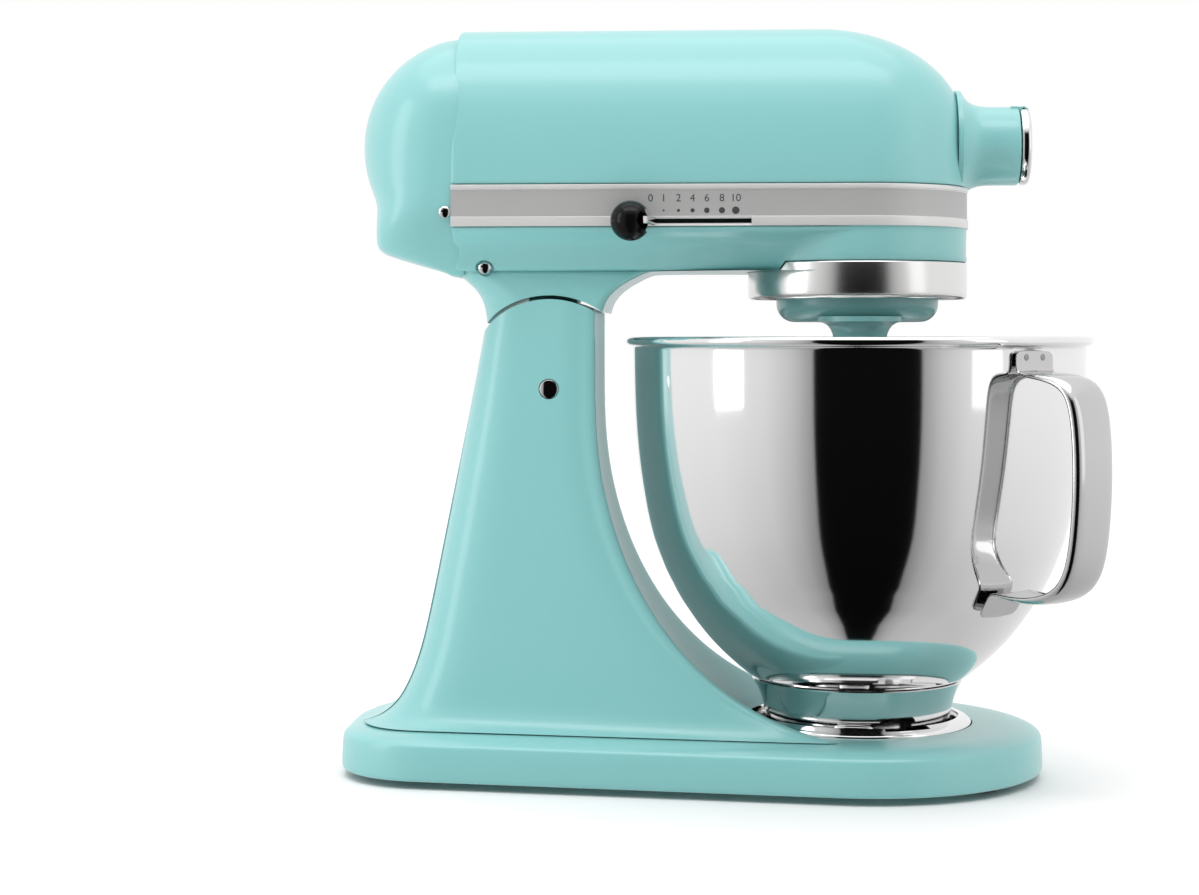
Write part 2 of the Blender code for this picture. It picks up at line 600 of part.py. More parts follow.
def make_motor():
    iron = material("iron_field", (0.2, 0.2, 0.21), 0.5, 1.0)
    outline = []
    for i in range(28):
        a = math.tau * i / 28
        outline.append((43.0 * math.cos(a), MOTOR_Z + 40.0 * math.sin(a)))
    field = prism("motor_field", outline, -165.0, -117.0, iron, axis="X")
    cut(field, rod("c", 26.6, -180.0, -100.0, at=(0, 0, MOTOR_Z), axis="X", steps=24))
    origin_at(field, (-141.0, 0, MOTOR_Z))

    alloy = material("alloy_brackets", (0.55, 0.55, 0.56), 0.5, 1.0)
    for name, low, high in (("rear_bearing_bracket", -199.0, -193.0), ("front_bearing_bracket", -88.0, -82.0)):
        plan = [(-44.0, MOTOR_Z - 9), (44.0, MOTOR_Z - 9), (44.0, MOTOR_Z + 9), (-44.0, MOTOR_Z + 9)]
        bracket = prism(name, plan, low, high, alloy, axis="X")
        join(bracket, rod("hub", 13.0, low - 2, high + 2, at=(0, 0, MOTOR_Z), axis="X", steps=20))
        cut(bracket, rod("c", 4.5, low - 20, high + 20, at=(0, 0, MOTOR_Z), axis="X", steps=16))
        origin_at(bracket, (low, 0, MOTOR_Z))

    brass = material("brass_brush_holders", (0.75, 0.56, 0.25), 0.35, 1.0)
    for i, side in enumerate((-1, 1)):
        y = sorted((side * 14.6, side * 42.0))
        holder = block(f"brush_holder_{i + 1}", (-184.0, -175.0), y, (MOTOR_Z - 5, MOTOR_Z + 5), brass)
        y = sorted((side * 30.0, side * 50.0))
        cut(holder, block("c", (-182.0, -177.0), y, (MOTOR_Z - 3, MOTOR_Z + 3)))
        origin_at(holder, (-179.5, 0, MOTOR_Z))

    resin = material("resin_control_plate", (0.25, 0.12, 0.07), 0.5, 0.0)
    plate = rod("speed_control_plate", 24.0, -209.0, -205.6, resin, at=(0, 0, MOTOR_Z), axis="X", steps=20)
    cut(plate, rod("c", 5.0, -220.0, -190.0, at=(0, 0, MOTOR_Z), axis="X", steps=14))
    origin_at(plate, (-207.0, 0, MOTOR_Z))

    core = turned(
        "armature",
        [
            (0, -214.0), (3.9, -214.0), (3.9, -163.0), (13.0, -160.0), (25.6, -158.0), (25.6, -122.0),
            (13.0, -119.0), (3.9, -116.0), (3.9, -9.0), (0, -9.0),
        ],
        material("copper_and_iron", (0.45, 0.25, 0.16), 0.45, 1.0),
        at=(0, 0, MOTOR_Z),
        axis="X",
        steps=20,
    )
    origin_at(core, (0, 0, MOTOR_Z))
    ring = turned(
        "commutator",
        [(4.2, -186.0), (14.0, -186.0), (14.0, -172.0), (4.2, -172.0)],
        material("copper_commutator", (0.72, 0.42, 0.28), 0.35, 1.0),
        at=(0, 0, MOTOR_Z),
        axis="X",
        steps=20,
    )
    origin_at(ring, (0, 0, MOTOR_Z))
    blades = []
    for i in range(9):
        middle = math.tau * i / 9
        for radius, turn in ((11.0, -0.16), (33.0, -0.07), (33.0, 0.07), (11.0, 0.16)):
            a = middle + turn
            blades.append((radius * math.cos(a), MOTOR_Z + radius * math.sin(a)))
    fan = prism("cooling_fan", blades, -108.0, -99.0, material("nylon_fan", (0.08, 0.08, 0.08), 0.5, 0.0), axis="X")
    cut(fan, rod("c", 4.2, -120.0, -90.0, at=(0, 0, MOTOR_Z), axis="X", steps=14))
    origin_at(fan, (0, 0, MOTOR_Z))


def make_worm():
    """The worm is a two-lobed section twisted once round per lead, then bored."""
    lead = math.pi * MODULE * WORM_STARTS
    turns = 2.0
    rings_per_turn = 12
    low = WORM_GEAR_X - lead * turns / 2
    lobe = ((-0.947, 5.0), (-0.333, 8.2), (0.333, 8.2), (0.947, 5.0), (1.571, 5.0))
    rings = []
    for i in range(int(turns * rings_per_turn) + 1):
        twist = math.tau * i / rings_per_turn + WORM_PHASE
        x = low + lead * i / rings_per_turn
        ring = []
        for start_index in range(WORM_STARTS):
            for turn, radius in lobe:
                a = twist + turn + math.tau * start_index / WORM_STARTS
                ring.append((x, radius * math.cos(a), MOTOR_Z + radius * math.sin(a)))
        rings.append(ring)
    worm = lofted("worm", rings, steel("hardened_worm", 0.3, 0.5))
    cut(worm, rod("c", 4.2, low - 5.0, low + lead * turns + 5.0, at=(0, 0, MOTOR_Z), axis="X", steps=14))
    origin_at(worm, (0, 0, MOTOR_Z))

    bronze = material("bronze_worm_gear", (0.62, 0.42, 0.2), 0.4, 1.0)
    cx = WORM_GEAR_X
    cy = WORM_GEAR_Y
    pitch_radius = MODULE * WORM_TEETH / 2
    slope = lead / (math.tau * WORM_PITCH_RADIUS)
    rings = []
    for z in (295.0, 300.0, 305.0):
        phase = math.radians(-90) + (z - MOTOR_Z) * slope / pitch_radius
        plan = gear_plan(WORM_TEETH, pitch_radius + 1.2, pitch_radius - 1.7, pitch_radius, 0.3, phase, (cx, cy))
        rings.append(at_height(plan, z))
    gear = lofted("worm_gear", rings, bronze)
    small = gear_plan(
        PINION_TEETH, MODULE * PINION_TEETH / 2 + 1.1, MODULE * PINION_TEETH / 2 - 1.7,
        MODULE * PINION_TEETH / 2, 0.22, PINION_PHASE, (cx, cy),
    )
    join(gear, prism("teeth", small, GEAR_LOW, 296.0))
    join(gear, rod("shaft", 4.0, 247.0, 313.0, at=(cx, cy, 0), steps=14))
    origin_at(gear, (cx, cy, 290.0))


def make_center_drive():
    hard = steel("hardened_center_gear", 0.35, 0.45)
    radius = MODULE * CENTER_TEETH / 2
    plan = gear_plan(CENTER_TEETH, radius + 1.1, radius - 1.7, radius, 0.22, CENTER_PHASE)
    gear = prism("center_gear", plan, GEAR_LOW + 0.5, GEAR_HIGH - 0.8, hard)
    # Face teeth on top drive the hub's pinion.
    crown = gear_plan(CENTER_TEETH, 29.0, 24.0, 27.0, 0.0, 0.0)
    for k in range(CENTER_TEETH):
        a = math.tau * (k + 0.5) / CENTER_TEETH
        bm = bmesh.new()
        rows = []
        for r in (23.6, 26.2):
            row = []
            for across, z in ((-1.25, 285.4), (-0.5, 288.9), (0.5, 288.9), (1.25, 285.4)):
                across *= r / 27.0
                row.append(bm.verts.new((
                    r * math.cos(a) - across * math.sin(a), r * math.sin(a) + across * math.cos(a), z)))
            rows.append(row)
        for i in range(4):
            j = (i + 1) % 4
            bm.faces.new((rows[0][i], rows[0][j], rows[1][j], rows[1][i]))
        bm.faces.new(rows[0])
        bm.faces.new(rows[1])
        join(gear, made("tooth", bm, None))
    cut(gear, rod("c", 6.3, 260.0, 300.0, steps=24))
    origin_at(gear, (0, 0, 280.0))

    shaft = rod("center_shaft", 6.0, 214.6, 290.0, steel("ground_center_shaft", 0.2, 0.55), steps=20)
    cut(shaft, rod("c", 2.3, -20.0, 20.0, at=(0, 0, 222.0), axis="X", steps=10))
    origin_at(shaft, (0, 0, 222.0))

    pin = rod("planetary_pin", 2.0, -11.0, 11.0, steel("ground_planetary_pin", 0.25), at=(0, 0, 222.0), axis="X", steps=10)
    origin_at(pin, (0, 0, 222.0))

    radius = MODULE * PINION_TEETH / 2
    teeth = gear_plan(PINION_TEETH, radius + 0.9, radius - 1.9, radius, 0.35, math.radians(-90), (0.0, HUB_Z))
    hub = prism("hub_gear_shaft", teeth, 23.0, 26.8, steel("hardened_hub_gear", 0.3, 0.5), axis="X")
    shaft = [(0, 20.0), (5.0, 20.0), (5.0, 30.0), (18.0, 30.0), (18.0, 39.0), (5.0, 39.0), (5.0, 60.0), (0, 60.0)]
    join(hub, turned("shaft", shaft, at=(0, 0, HUB_Z), axis="X", steps=24))
    cut(hub, block("c", (50.0, 70.0), (-2.6, 2.6), (HUB_Z - 2.6, HUB_Z + 2.6)))
    origin_at(hub, (0, 0, HUB_Z))


def make_planetary():
    enamel = paint("enamel_planetary")
    radius = PLANETARY_RADIUS
    low = PLANETARY_LOW
    profile = [(0, low), (radius - 8.5, low)]
    profile += arc(radius - 8.5, low + 8.5, 8.5, -60, 0, 3)
    profile += [(radius, 231.6), (0, 231.6)]
    body = turned("planetary", profile, enamel, steps=32)
    join(body, turned(
        "boss",
        [(0, 222.0), (18.0, 222.0), (18.0, 213.0), (13.8, 210.4), (12.25, 206.0), (12.25, 198.0), (11.2, 196.6), (0, 196.6)],
        at=(0, -BEATER_OFFSET, 0),
        steps=24,
    ))
    cut(body, rod("c", 6.3, 200.0, 260.0, steps=20))
    cut(body, rod("c", 2.3, -11.6, 11.6, at=(0, 0, 222.0), axis="X", steps=10))
    cut(body, rod("c", 6.5, 190.0, 260.0, at=(0, -BEATER_OFFSET, 0), steps=20))
    cut(body, rod("c", 2.6, 0, 60.0, at=(0, 0, 222.0), axis="X", steps=10))
    origin_at(body, (0, 0, 222.0))

    drip = material("brushed_drip_ring", (0.62, 0.63, 0.62), 0.25, 1.0)
    ring = turned(
        "drip_ring",
        [(49.4, 225.2), (50.6, 224.3), (51.4, 225.0), (51.7, 227.0), (51.7, 241.4), (49.4, 241.4)],
        drip,
        steps=36,
    )
    origin_at(ring, (0, 0, 241.4))

    teeth = MODULE * RING_TEETH / 2
    inner = gear_plan(RING_TEETH, teeth - 1.1, teeth + 1.7, teeth, 0.25, RING_PHASE, inner=True)
    gear = rod("ring_gear", 49.0, 233.4, 241.3, steel("hardened_ring_gear", 0.35, 0.45), steps=36)
    cut(gear, prism("c", inner, 220.0, 260.0))
    origin_at(gear, (0, 0, 241.3))

    bright = steel("bright_beater_shaft", 0.12, 0.7)
    y = -BEATER_OFFSET
    shaft = turned(
        "beater_shaft",
        [(0, 168.0), (4.6, 168.0), (5.5, 169.2), (5.5, 196.0), (6.1, 197.0), (6.1, 240.4), (0, 240.4)],
        bright,
        at=(0, y, 0),
        steps=18,
    )
    cut(shaft, rod("c", 1.9, -20.0, 20.0, at=(0, y, 178.0), axis="X", steps=10))
    origin_at(shaft, (0, y, 222.0))
    pin = rod("beater_pin", 1.6, -9.0, 9.0, steel("bright_beater_pin", 0.15, 0.7), at=(0, y, 178.0), axis="X", steps=10)
    origin_at(pin, (0, y, 222.0))
    pitch_radius = MODULE * BEATER_TEETH / 2
    plan = gear_plan(BEATER_TEETH, pitch_radius + 1.1, pitch_radius - 1.7, pitch_radius, 0.25, math.radians(-90), (0, y))
    pinion = prism("beater_pinion", plan, 232.2, 239.8, steel("hardened_beater_pinion", 0.35, 0.45))
    cut(pinion, rod("c", 6.4, 220.0, 250.0, at=(0, y, 0), steps=18))
    origin_at(pinion, (0, y, 222.0))


def make_controls():
    strip = steel("bright_speed_lever", 0.2, 0.65)
    tip = SLOT_REAR + 5.0
    lever = block("speed_lever", (tip - 3.9, tip - 0.4), (-53.6, -42.0), (258.6, 260.5), strip)
    join(lever, block("arm", (KNOB_X - 1.8, tip), (-54.0, -52.6), (257.8, 261.3)))
    join(lever, rod("stem", 1.5, -61.5, -53.4, at=(KNOB_X, 0, KNOB_Z), axis="Y", steps=10))
    join(lever, block("link", (-200.0, tip), (-44.6, -42.4), (257.2, 261.4)))
    origin_at(lever, (KNOB_X, -54.0, KNOB_Z))
    gloss = material("gloss_black_speed_knob", (0.02, 0.02, 0.02), 0.12, 0.0, 0.5)
    ball = [(0, -70.0)] + [(9.2 * math.sin(math.radians(a)), -61.0 - 9.2 * math.cos(math.radians(a))) for a in (20, 40, 60, 80, 100, 120, 136)]
    ball = [(0, -70.2)] + ball[1:] + [(0, ball[-1][1])]
    knob = turned("speed_knob", ball, gloss, at=(KNOB_X, 0, KNOB_Z), axis="Y", steps=18)
    cut(knob, rod("c", 1.8, -62.0, -40.0, at=(KNOB_X, 0, KNOB_Z), axis="Y", steps=10))
    origin_at(knob, (KNOB_X, -61.0, KNOB_Z))

    lever = rod("lock_lever", 3.0, 20.0, 56.0, steel("bright_lock_lever", 0.2, 0.65), at=(LOCK_X, 0, LOCK_Z), axis="Y", steps=14)
    arm = arc(LOCK_X, LOCK_Z, 6.0, -90, 90, 6) + arc(LOCK_X - 24.0, LOCK_Z - 6.0, 4.0, 100, 260, 5)
    join(lever, prism("arm", arm, 53.6, 57.0, axis="Y"))
    join(lever, rod("stem", 1.5, 55.0, 61.5, at=(LOCK_X - 24.0, 0, LOCK_Z - 6.0), axis="Y", steps=10))
    origin_at(lever, (LOCK_X, 0, LOCK_Z))
    gloss = material("gloss_black_lock_knob", (0.02, 0.02, 0.02), 0.12, 0.0, 0.5)
    ball = [(0, 57.6)] + [(7.0 * math.sin(math.radians(a)), 64.0 - 7.0 * math.cos(math.radians(a))) for a in (35, 60, 85, 110, 135, 158)] + [(0, 71.0)]
    ball[0] = (0, ball[1][1])
    knob = turned("lock_knob", ball, gloss, at=(LOCK_X - 24.0, 0, LOCK_Z - 6.0), axis="Y", steps=16)
    cut(knob, rod("c", 1.8, 50.0, 62.0, at=(LOCK_X - 24.0, 0, LOCK_Z - 6.0), axis="Y", steps=10))
    origin_at(knob, (LOCK_X, 0, LOCK_Z))

    chrome = material("chrome_hub_cover", (0.78, 0.78, 0.77), 0.1, 1.0)
    cover = turned(
        "hub_cover",
        [(0, 76.1), (17.6, 76.1), (18.4, 76.9), (18.4, 79.7), (16.6, 81.1), (12.0, 80.7), (8.0, 81.7), (0, 82.1)],
        chrome,
        at=(0, 0, HUB_Z),
        axis="X",
        steps=36,
    )
    knuckle = [(76.1, 308.5), (79.8, 308.5)] + arc(HUB_PIN_X, HUB_PIN_Z, 1.9, 0, 180, 7)
    join(cover, prism("knuckle", knuckle, -3.8, 3.8, axis="Y"))
    for side in (-1, 1):
        y = sorted((side * 3.8, side * 9.0))
        cut(cover, block("c", (74.6, 84.0), y, (309.4, 320.0)))
    cut(cover, rod("c", 1.3, -12, 12, at=(HUB_PIN_X, 0, HUB_PIN_Z), axis="Y", steps=10))
    origin_at(cover, (HUB_PIN_X, 0, HUB_PIN_Z))
    pin = rod("hub_hinge_pin", 1.0, -7.2, 7.2, steel("bright_hub_hinge_pin", 0.2), at=(HUB_PIN_X, 0, HUB_PIN_Z), axis="Y", steps=10)
    origin_at(pin, (HUB_PIN_X, 0, HUB_PIN_Z))
    black = material("gloss_black_attachment_knob", (0.02, 0.02, 0.02), 0.15, 0.0, 0.5)
    lobes = []
    for i in range(24):
        a = math.tau * i / 24
        radius = 9.4 + 0.9 * math.cos(6 * a)
        lobes.append((63.0 + radius * math.cos(a), HUB_Z + radius * math.sin(a)))
    knob = prism("attachment_knob", lobes, 20.0, 34.0, black, axis="Y")
    join(knob, rod("screw", 3.0, 13.6, 22.0, at=(63.0, 0, HUB_Z), axis="Y", steps=12))
    origin_at(knob, (63.0, 0, HUB_Z))


def bowl_outer():
    """Outer wall from the middle of the floor up to the bead."""
    return [
        (0, 40.6), (38.0, 41.0), (52.0, 46.9), (68.0, 61.3), (79.5, 75.7), (88.1, 90.0), (94.6, 104.4),
        (100.6, 126.0), (105.0, 154.7), (106.9, 202.2),
    ]


def make_bowl():
    polished = steel("polished_bowl", 0.08, 0.72)
    outer = bowl_outer()
    bead = arc(107.9, RIM_Z, 2.3, -50, 140, 4)
    inner = [(max(0.0, r - BOWL_WALL), z + (BOWL_WALL if z < 60 else BOWL_WALL * 0.5)) for r, z in reversed(outer)]
    inner[0] = (outer[-1][0] - BOWL_WALL, RIM_Z - 1.0)
    bowl = turned("bowl", outer + bead + inner, polished, steps=36)
    origin_at(bowl, (0, 0, 30.0))

    foot = turned(
        "bowl_foot",
        [
            (42.3, 21.2), (43.5, 21.2), (43.9, 28.0), (45.6, 35.0), (49.6, 44.3), (47.8, 43.4), (44.4, 35.4),
            (42.6, 28.0),
        ],
        polished,
        steps=30,
    )
    for k in range(3):
        middle = LUG_ANGLE + 120 * k
        plan = arc(0, 0, 43.0, middle - 10, middle + 10, 4) + arc(0, 0, 50.2, middle + 10, middle - 10, 4)
        join(foot, prism("lug", plan, 21.6, 23.6))
    origin_at(foot, (0, 0, 30.0))

    # A flat strap bent to a grip: (distance from the bowl's axis, height) along its middle.
    path = [(107.9, 190.0), (107.9, 198.6), (110.4, 200.6), (116.0, 200.9), (126.0, 199.6), (133.6, 195.6),
            (138.4, 188.0), (141.6, 174.0), (HANDLE_REACH - 0.9, 156.0), (HANDLE_REACH - 0.9, 138.0), (141.0, 120.0),
            (137.4, 104.0), (131.6, 92.6), (122.0, 85.0), (108.0, 79.6), (97.0, 77.8), (89.0, 77.6), (84.4, 79.8),
            (88.6, 88.0)]
    path[-3:] = [(86.8, 79.4), (87.4, 84.0), (90.9, 90.8)]
    thick = 0.9
    rings = []
    for i, (r, z) in enumerate(path):
        before = path[max(0, i - 1)]
        after = path[min(len(path) - 1, i + 1)]
        along = Vector((after[0] - before[0], after[1] - before[1])).normalized()
        side = Vector((-along.y, along.x)) * thick
        ring = []
        for across, lift in ((-1, 1), (1, 1), (1, -1), (-1, -1)):
            p = Vector((r, z)) + side * lift
            ring.append((p.x, across * HANDLE_WIDTH / 2, p.y))
        rings.append(ring)
    handle = lofted("bowl_handle", rings, steel("polished_handle", 0.1, 0.72))
    cut(handle, turned("c", [(0, 60.0)] + [(r + 0.35, z) for r, z in bowl_outer()[4:]] + [(107.25, 215.0), (0, 215.0)], steps=36))
    handle.data.transform(Matrix.Rotation(HANDLE_ANGLE, 4, "Z"))
    origin_at(handle, (0, 0, 30.0))


FEET = ((52.0, 43.0), (52.0, -43.0), (-70.0, 0.0), (-208.0, 30.0), (-208.0, -30.0))
PEDESTAL_SCREWS = ((-186.0, 31.5), (-186.0, -31.5), (-112.0, 40.0), (-112.0, -40.0))
CLAMP_SCREWS = tuple(
    (30.0 * math.cos(math.radians(a)), 30.0 * math.sin(math.radians(a))) for a in (60, 180, 300)
)
LUG_ANGLE = -95.0
LUG_TWIST = 30.0
LOCK_X = -125.0
LOCK_Z = 233.0
# A gap of the thread faces the worm gear where the gear has a tooth.
WORM_PHASE = math.pi / 2
TO_WORM_GEAR = math.atan2(WORM_GEAR_Y, WORM_GEAR_X)
# A tooth of the centre gear and a gap of the pinion meet on the line between the axes.
CENTER_PHASE = TO_WORM_GEAR
PINION_PHASE = TO_WORM_GEAR + math.pi + math.pi / PINION_TEETH
# A gap of the ring gear meets a tooth of the beater pinion.
RING_PHASE = math.radians(-90) + math.pi / RING_TEETH


def centre_on_footprint():
    shift = Vector((-FOOTPRINT_X, -FOOTPRINT_Y, 0)) * MM
    for obj in bpy.data.objects:
        obj.location += shift


start()
make_base()
make_pedestal()
make_head()
make_band()
make_rear_cover()
make_motor()
make_worm()
make_center_drive()
make_planetary()
make_controls()
make_bowl()
centre_on_footprint()
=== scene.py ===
import math
import bmesh
import bpy
from mathutils import Matrix, Vector


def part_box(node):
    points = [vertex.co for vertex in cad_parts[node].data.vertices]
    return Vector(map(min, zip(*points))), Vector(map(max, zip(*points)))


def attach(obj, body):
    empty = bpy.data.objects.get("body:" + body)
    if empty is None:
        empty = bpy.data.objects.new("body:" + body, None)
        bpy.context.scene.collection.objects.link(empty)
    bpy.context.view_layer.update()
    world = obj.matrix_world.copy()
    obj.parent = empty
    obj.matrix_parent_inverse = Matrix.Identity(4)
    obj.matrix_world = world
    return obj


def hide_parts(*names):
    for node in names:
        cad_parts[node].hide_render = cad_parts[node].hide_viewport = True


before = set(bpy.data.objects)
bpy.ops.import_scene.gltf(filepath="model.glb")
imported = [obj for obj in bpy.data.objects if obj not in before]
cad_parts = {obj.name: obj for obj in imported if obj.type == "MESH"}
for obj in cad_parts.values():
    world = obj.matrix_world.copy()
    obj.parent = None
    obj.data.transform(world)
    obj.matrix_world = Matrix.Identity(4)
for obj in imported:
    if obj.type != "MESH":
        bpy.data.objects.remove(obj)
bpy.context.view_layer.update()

clampLow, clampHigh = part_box("bowl_clamp_plate")
bowlAxis = Vector(((clampLow.x + clampHigh.x) / 2, (clampLow.y + clampHigh.y) / 2, 0))
toPlace = Matrix.Translation(bowlAxis) @ Matrix.Scale(0.001, 4)  # pieces are drawn in mm about the bowl's axis


# ---- shading ----

def newGroup(name, inputs, outputs):
    group = bpy.data.node_groups.new(name, "ShaderNodeTree")
    for label, kind, value in inputs:
        socket = group.interface.new_socket(name=label, in_out="INPUT", socket_type=kind)
        socket.default_value = value
    for label, kind in outputs:
        group.interface.new_socket(name=label, in_out="OUTPUT", socket_type=kind)
    start = group.nodes.new("NodeGroupInput")
    end = group.nodes.new("NodeGroupOutput")
    return group, start, end


def makeFinishGroup():
    # fine surface relief and cloudy roughness, shared by paints, plastics and metals
    group, start, end = newGroup(
        "surfaceFinish",
        [
            ("Grain Size", "NodeSocketFloat", 600.0),
            ("Grain Depth", "NodeSocketFloat", 0.05),
            ("Stretch", "NodeSocketVector", (1.0, 1.0, 1.0)),
            ("Roughness", "NodeSocketFloat", 0.3),
            ("Cloud", "NodeSocketFloat", 0.05),
            ("Tone", "NodeSocketColor", (0.5, 0.5, 0.5, 1.0)),
            ("Tone Shift", "NodeSocketFloat", 0.04),
        ],
        [("Colour", "NodeSocketColor"), ("Roughness", "NodeSocketFloat"), ("Normal", "NodeSocketVector")],
    )
    nodes, links = group.nodes, group.links
    coords = nodes.new("ShaderNodeTexCoord")
    stretch = nodes.new("ShaderNodeVectorMath")
    stretch.operation = "MULTIPLY"
    links.new(coords.outputs["Object"], stretch.inputs[0])
    links.new(start.outputs["Stretch"], stretch.inputs[1])
    grain = nodes.new("ShaderNodeTexNoise")
    grain.inputs["Detail"].default_value = 3.0
    links.new(stretch.outputs[0], grain.inputs["Vector"])
    links.new(start.outputs["Grain Size"], grain.inputs["Scale"])
    clouds = nodes.new("ShaderNodeTexNoise")
    clouds.inputs["Scale"].default_value = 22.0
    clouds.inputs["Detail"].default_value = 4.0
    links.new(coords.outputs["Object"], clouds.inputs["Vector"])
    bump = nodes.new("ShaderNodeBump")
    bump.inputs["Distance"].default_value = 0.0002
    links.new(grain.outputs["Fac"], bump.inputs["Height"])
    links.new(start.outputs["Grain Depth"], bump.inputs["Strength"])
    mixed = nodes.new("ShaderNodeMath")
    mixed.operation = "ADD"
    half = nodes.new("ShaderNodeMath")
    half.operation = "SUBTRACT"
    half.inputs[1].default_value = 1.0
    links.new(clouds.outputs["Fac"], mixed.inputs[0])
    links.new(grain.outputs["Fac"], mixed.inputs[1])
    links.new(mixed.outputs[0], half.inputs[0])
    rough = nodes.new("ShaderNodeMath")
    rough.operation = "MULTIPLY_ADD"
    rough.use_clamp = True
    links.new(half.outputs[0], rough.inputs[0])
    links.new(start.outputs["Cloud"], rough.inputs[1])
    links.new(start.outputs["Roughness"], rough.inputs[2])
    shift = nodes.new("ShaderNodeMath")
    shift.operation = "MULTIPLY_ADD"
    shift.inputs[2].default_value = 1.0
    links.new(half.outputs[0], shift.inputs[0])
    links.new(start.outputs["Tone Shift"], shift.inputs[1])
    tint = nodes.new("ShaderNodeVectorMath")
    tint.operation = "SCALE"
    links.new(start.outputs["Tone"], tint.inputs[0])
    links.new(shift.outputs[0], tint.inputs["Scale"])
    links.new(tint.outputs[0], end.inputs["Colour"])
    links.new(rough.outputs[0], end.inputs["Roughness"])
    links.new(bump.outputs["Normal"], end.inputs["Normal"])
    return group


finishGroup = makeFinishGroup()


def finish(name, tone, rough, metal=0.0, coat=0.0, coatRough=0.05, grain=600.0, depth=0.05,
           stretch=(1, 1, 1), cloud=0.05, shift=0.04):
    look = bpy.data.materials.new(name)
    look.use_nodes = True
    nodes, links = look.node_tree.nodes, look.node_tree.links
    shader = nodes["Principled BSDF"]
    shader.inputs["Metallic"].default_value = metal
    shader.inputs["Coat Weight"].default_value = coat
    shader.inputs["Coat Roughness"].default_value = coatRough
    group = nodes.new("ShaderNodeGroup")
    group.node_tree = finishGroup
    group.inputs["Grain Size"].default_value = grain
    group.inputs["Grain Depth"].default_value = depth
    group.inputs["Stretch"].default_value = stretch
    group.inputs["Roughness"].default_value = rough
    group.inputs["Cloud"].default_value = cloud
    group.inputs["Tone"].default_value = (*tone, 1.0)
    group.inputs["Tone Shift"].default_value = shift
    links.new(group.outputs["Colour"], shader.inputs["Base Color"])
    links.new(group.outputs["Roughness"], shader.inputs["Roughness"])
    links.new(group.outputs["Normal"], shader.inputs["Normal"])
    look.diffuse_color = (*tone, 1.0)
    return look


looks = {
    "enamel": finish("mintEnamel", (0.245, 0.565, 0.56), 0.34, 0.0, 0.4, 0.14, 380.0, 0.02, cloud=0.02, shift=0.015),
    "steel": finish("mirrorSteel", (0.86, 0.86, 0.86), 0.07, 1.0, grain=900.0, depth=0.01, cloud=0.02, shift=0.02),
    "chrome": finish("brightChrome", (0.82, 0.82, 0.82), 0.08, 1.0, grain=900.0, depth=0.01, cloud=0.02),
    "strap": finish("strapSteel", (0.60, 0.60, 0.60), 0.12, 1.0, grain=900.0, depth=0.01, cloud=0.02),
    "satinRing": finish("satinChrome", (0.78, 0.78, 0.77), 0.22, 1.0, grain=500.0, depth=0.05, stretch=(1, 1, 9)),
    "bandDark": finish("bandGrey", (0.47, 0.47, 0.465), 0.42, 0.2, grain=160.0, depth=0.25, stretch=(1, 1, 22), cloud=0.1),
    "bandLight": finish("bandStripe", (0.74, 0.74, 0.73), 0.34, 0.25, grain=160.0, depth=0.2, stretch=(1, 1, 22), cloud=0.08),
    "bright": finish("brightSteel", (0.70, 0.70, 0.69), 0.16, 1.0, grain=700.0, depth=0.06),
    "gear": finish("gearSteel", (0.34, 0.34, 0.35), 0.38, 1.0, grain=300.0, depth=0.2),
    "bronze": finish("wormBronze", (0.55, 0.34, 0.15), 0.36, 1.0, grain=300.0, depth=0.2),
    "brass": finish("brushBrass", (0.75, 0.55, 0.24), 0.3, 1.0, grain=400.0, depth=0.15),
    "copper": finish("commutatorCopper", (0.70, 0.36, 0.22), 0.3, 1.0, grain=400.0, depth=0.15, stretch=(1, 8, 8)),
    "alloy": finish("castAlloy", (0.52, 0.52, 0.53), 0.5, 1.0, grain=260.0, depth=0.35),
    "iron": finish("laminatedIron", (0.16, 0.16, 0.17), 0.45, 1.0, grain=500.0, depth=0.4, stretch=(9, 1, 1)),
    "gloss": finish("glossBlack", (0.004, 0.004, 0.004), 0.09, 0.0, 0.0, 0.04, 500.0, 0.01),
    "resin": finish("blackNylon", (0.03, 0.03, 0.03), 0.5, 0.0, grain=400.0, depth=0.2),
    "rubber": finish("rubberGrip", (0.02, 0.02, 0.02), 0.75, 0.0, grain=350.0, depth=0.35),
    "ink": finish("scaleInk", (0.055, 0.055, 0.06), 0.5, 0.0, grain=500.0, depth=0.02),
    # painted shade: a near-black colour for sheets set where only shade falls, behind the speed slot and across the
    # nose's hollow
    "shade": finish("paintedShadeSheet", (0.03, 0.05, 0.05), 0.7, 0.0, grain=200.0, depth=0.3),
}
looks["gloss"].node_tree.nodes["Principled BSDF"].inputs["Specular IOR Level"].default_value = 0.16
print("finishes ready")


# ---- making ----

def facesInwards(bm):
    # a closed shape is told by its volume, an open shell by whether its faces look away from its middle
    if all(len(e.link_faces) == 2 for e in bm.edges):
        return bm.calc_volume(signed=True) < 0
    middle = sum((v.co for v in bm.verts), Vector()) / len(bm.verts)
    return sum(f.normal.dot(f.calc_center_median() - middle) * f.calc_area() for f in bm.faces) < 0


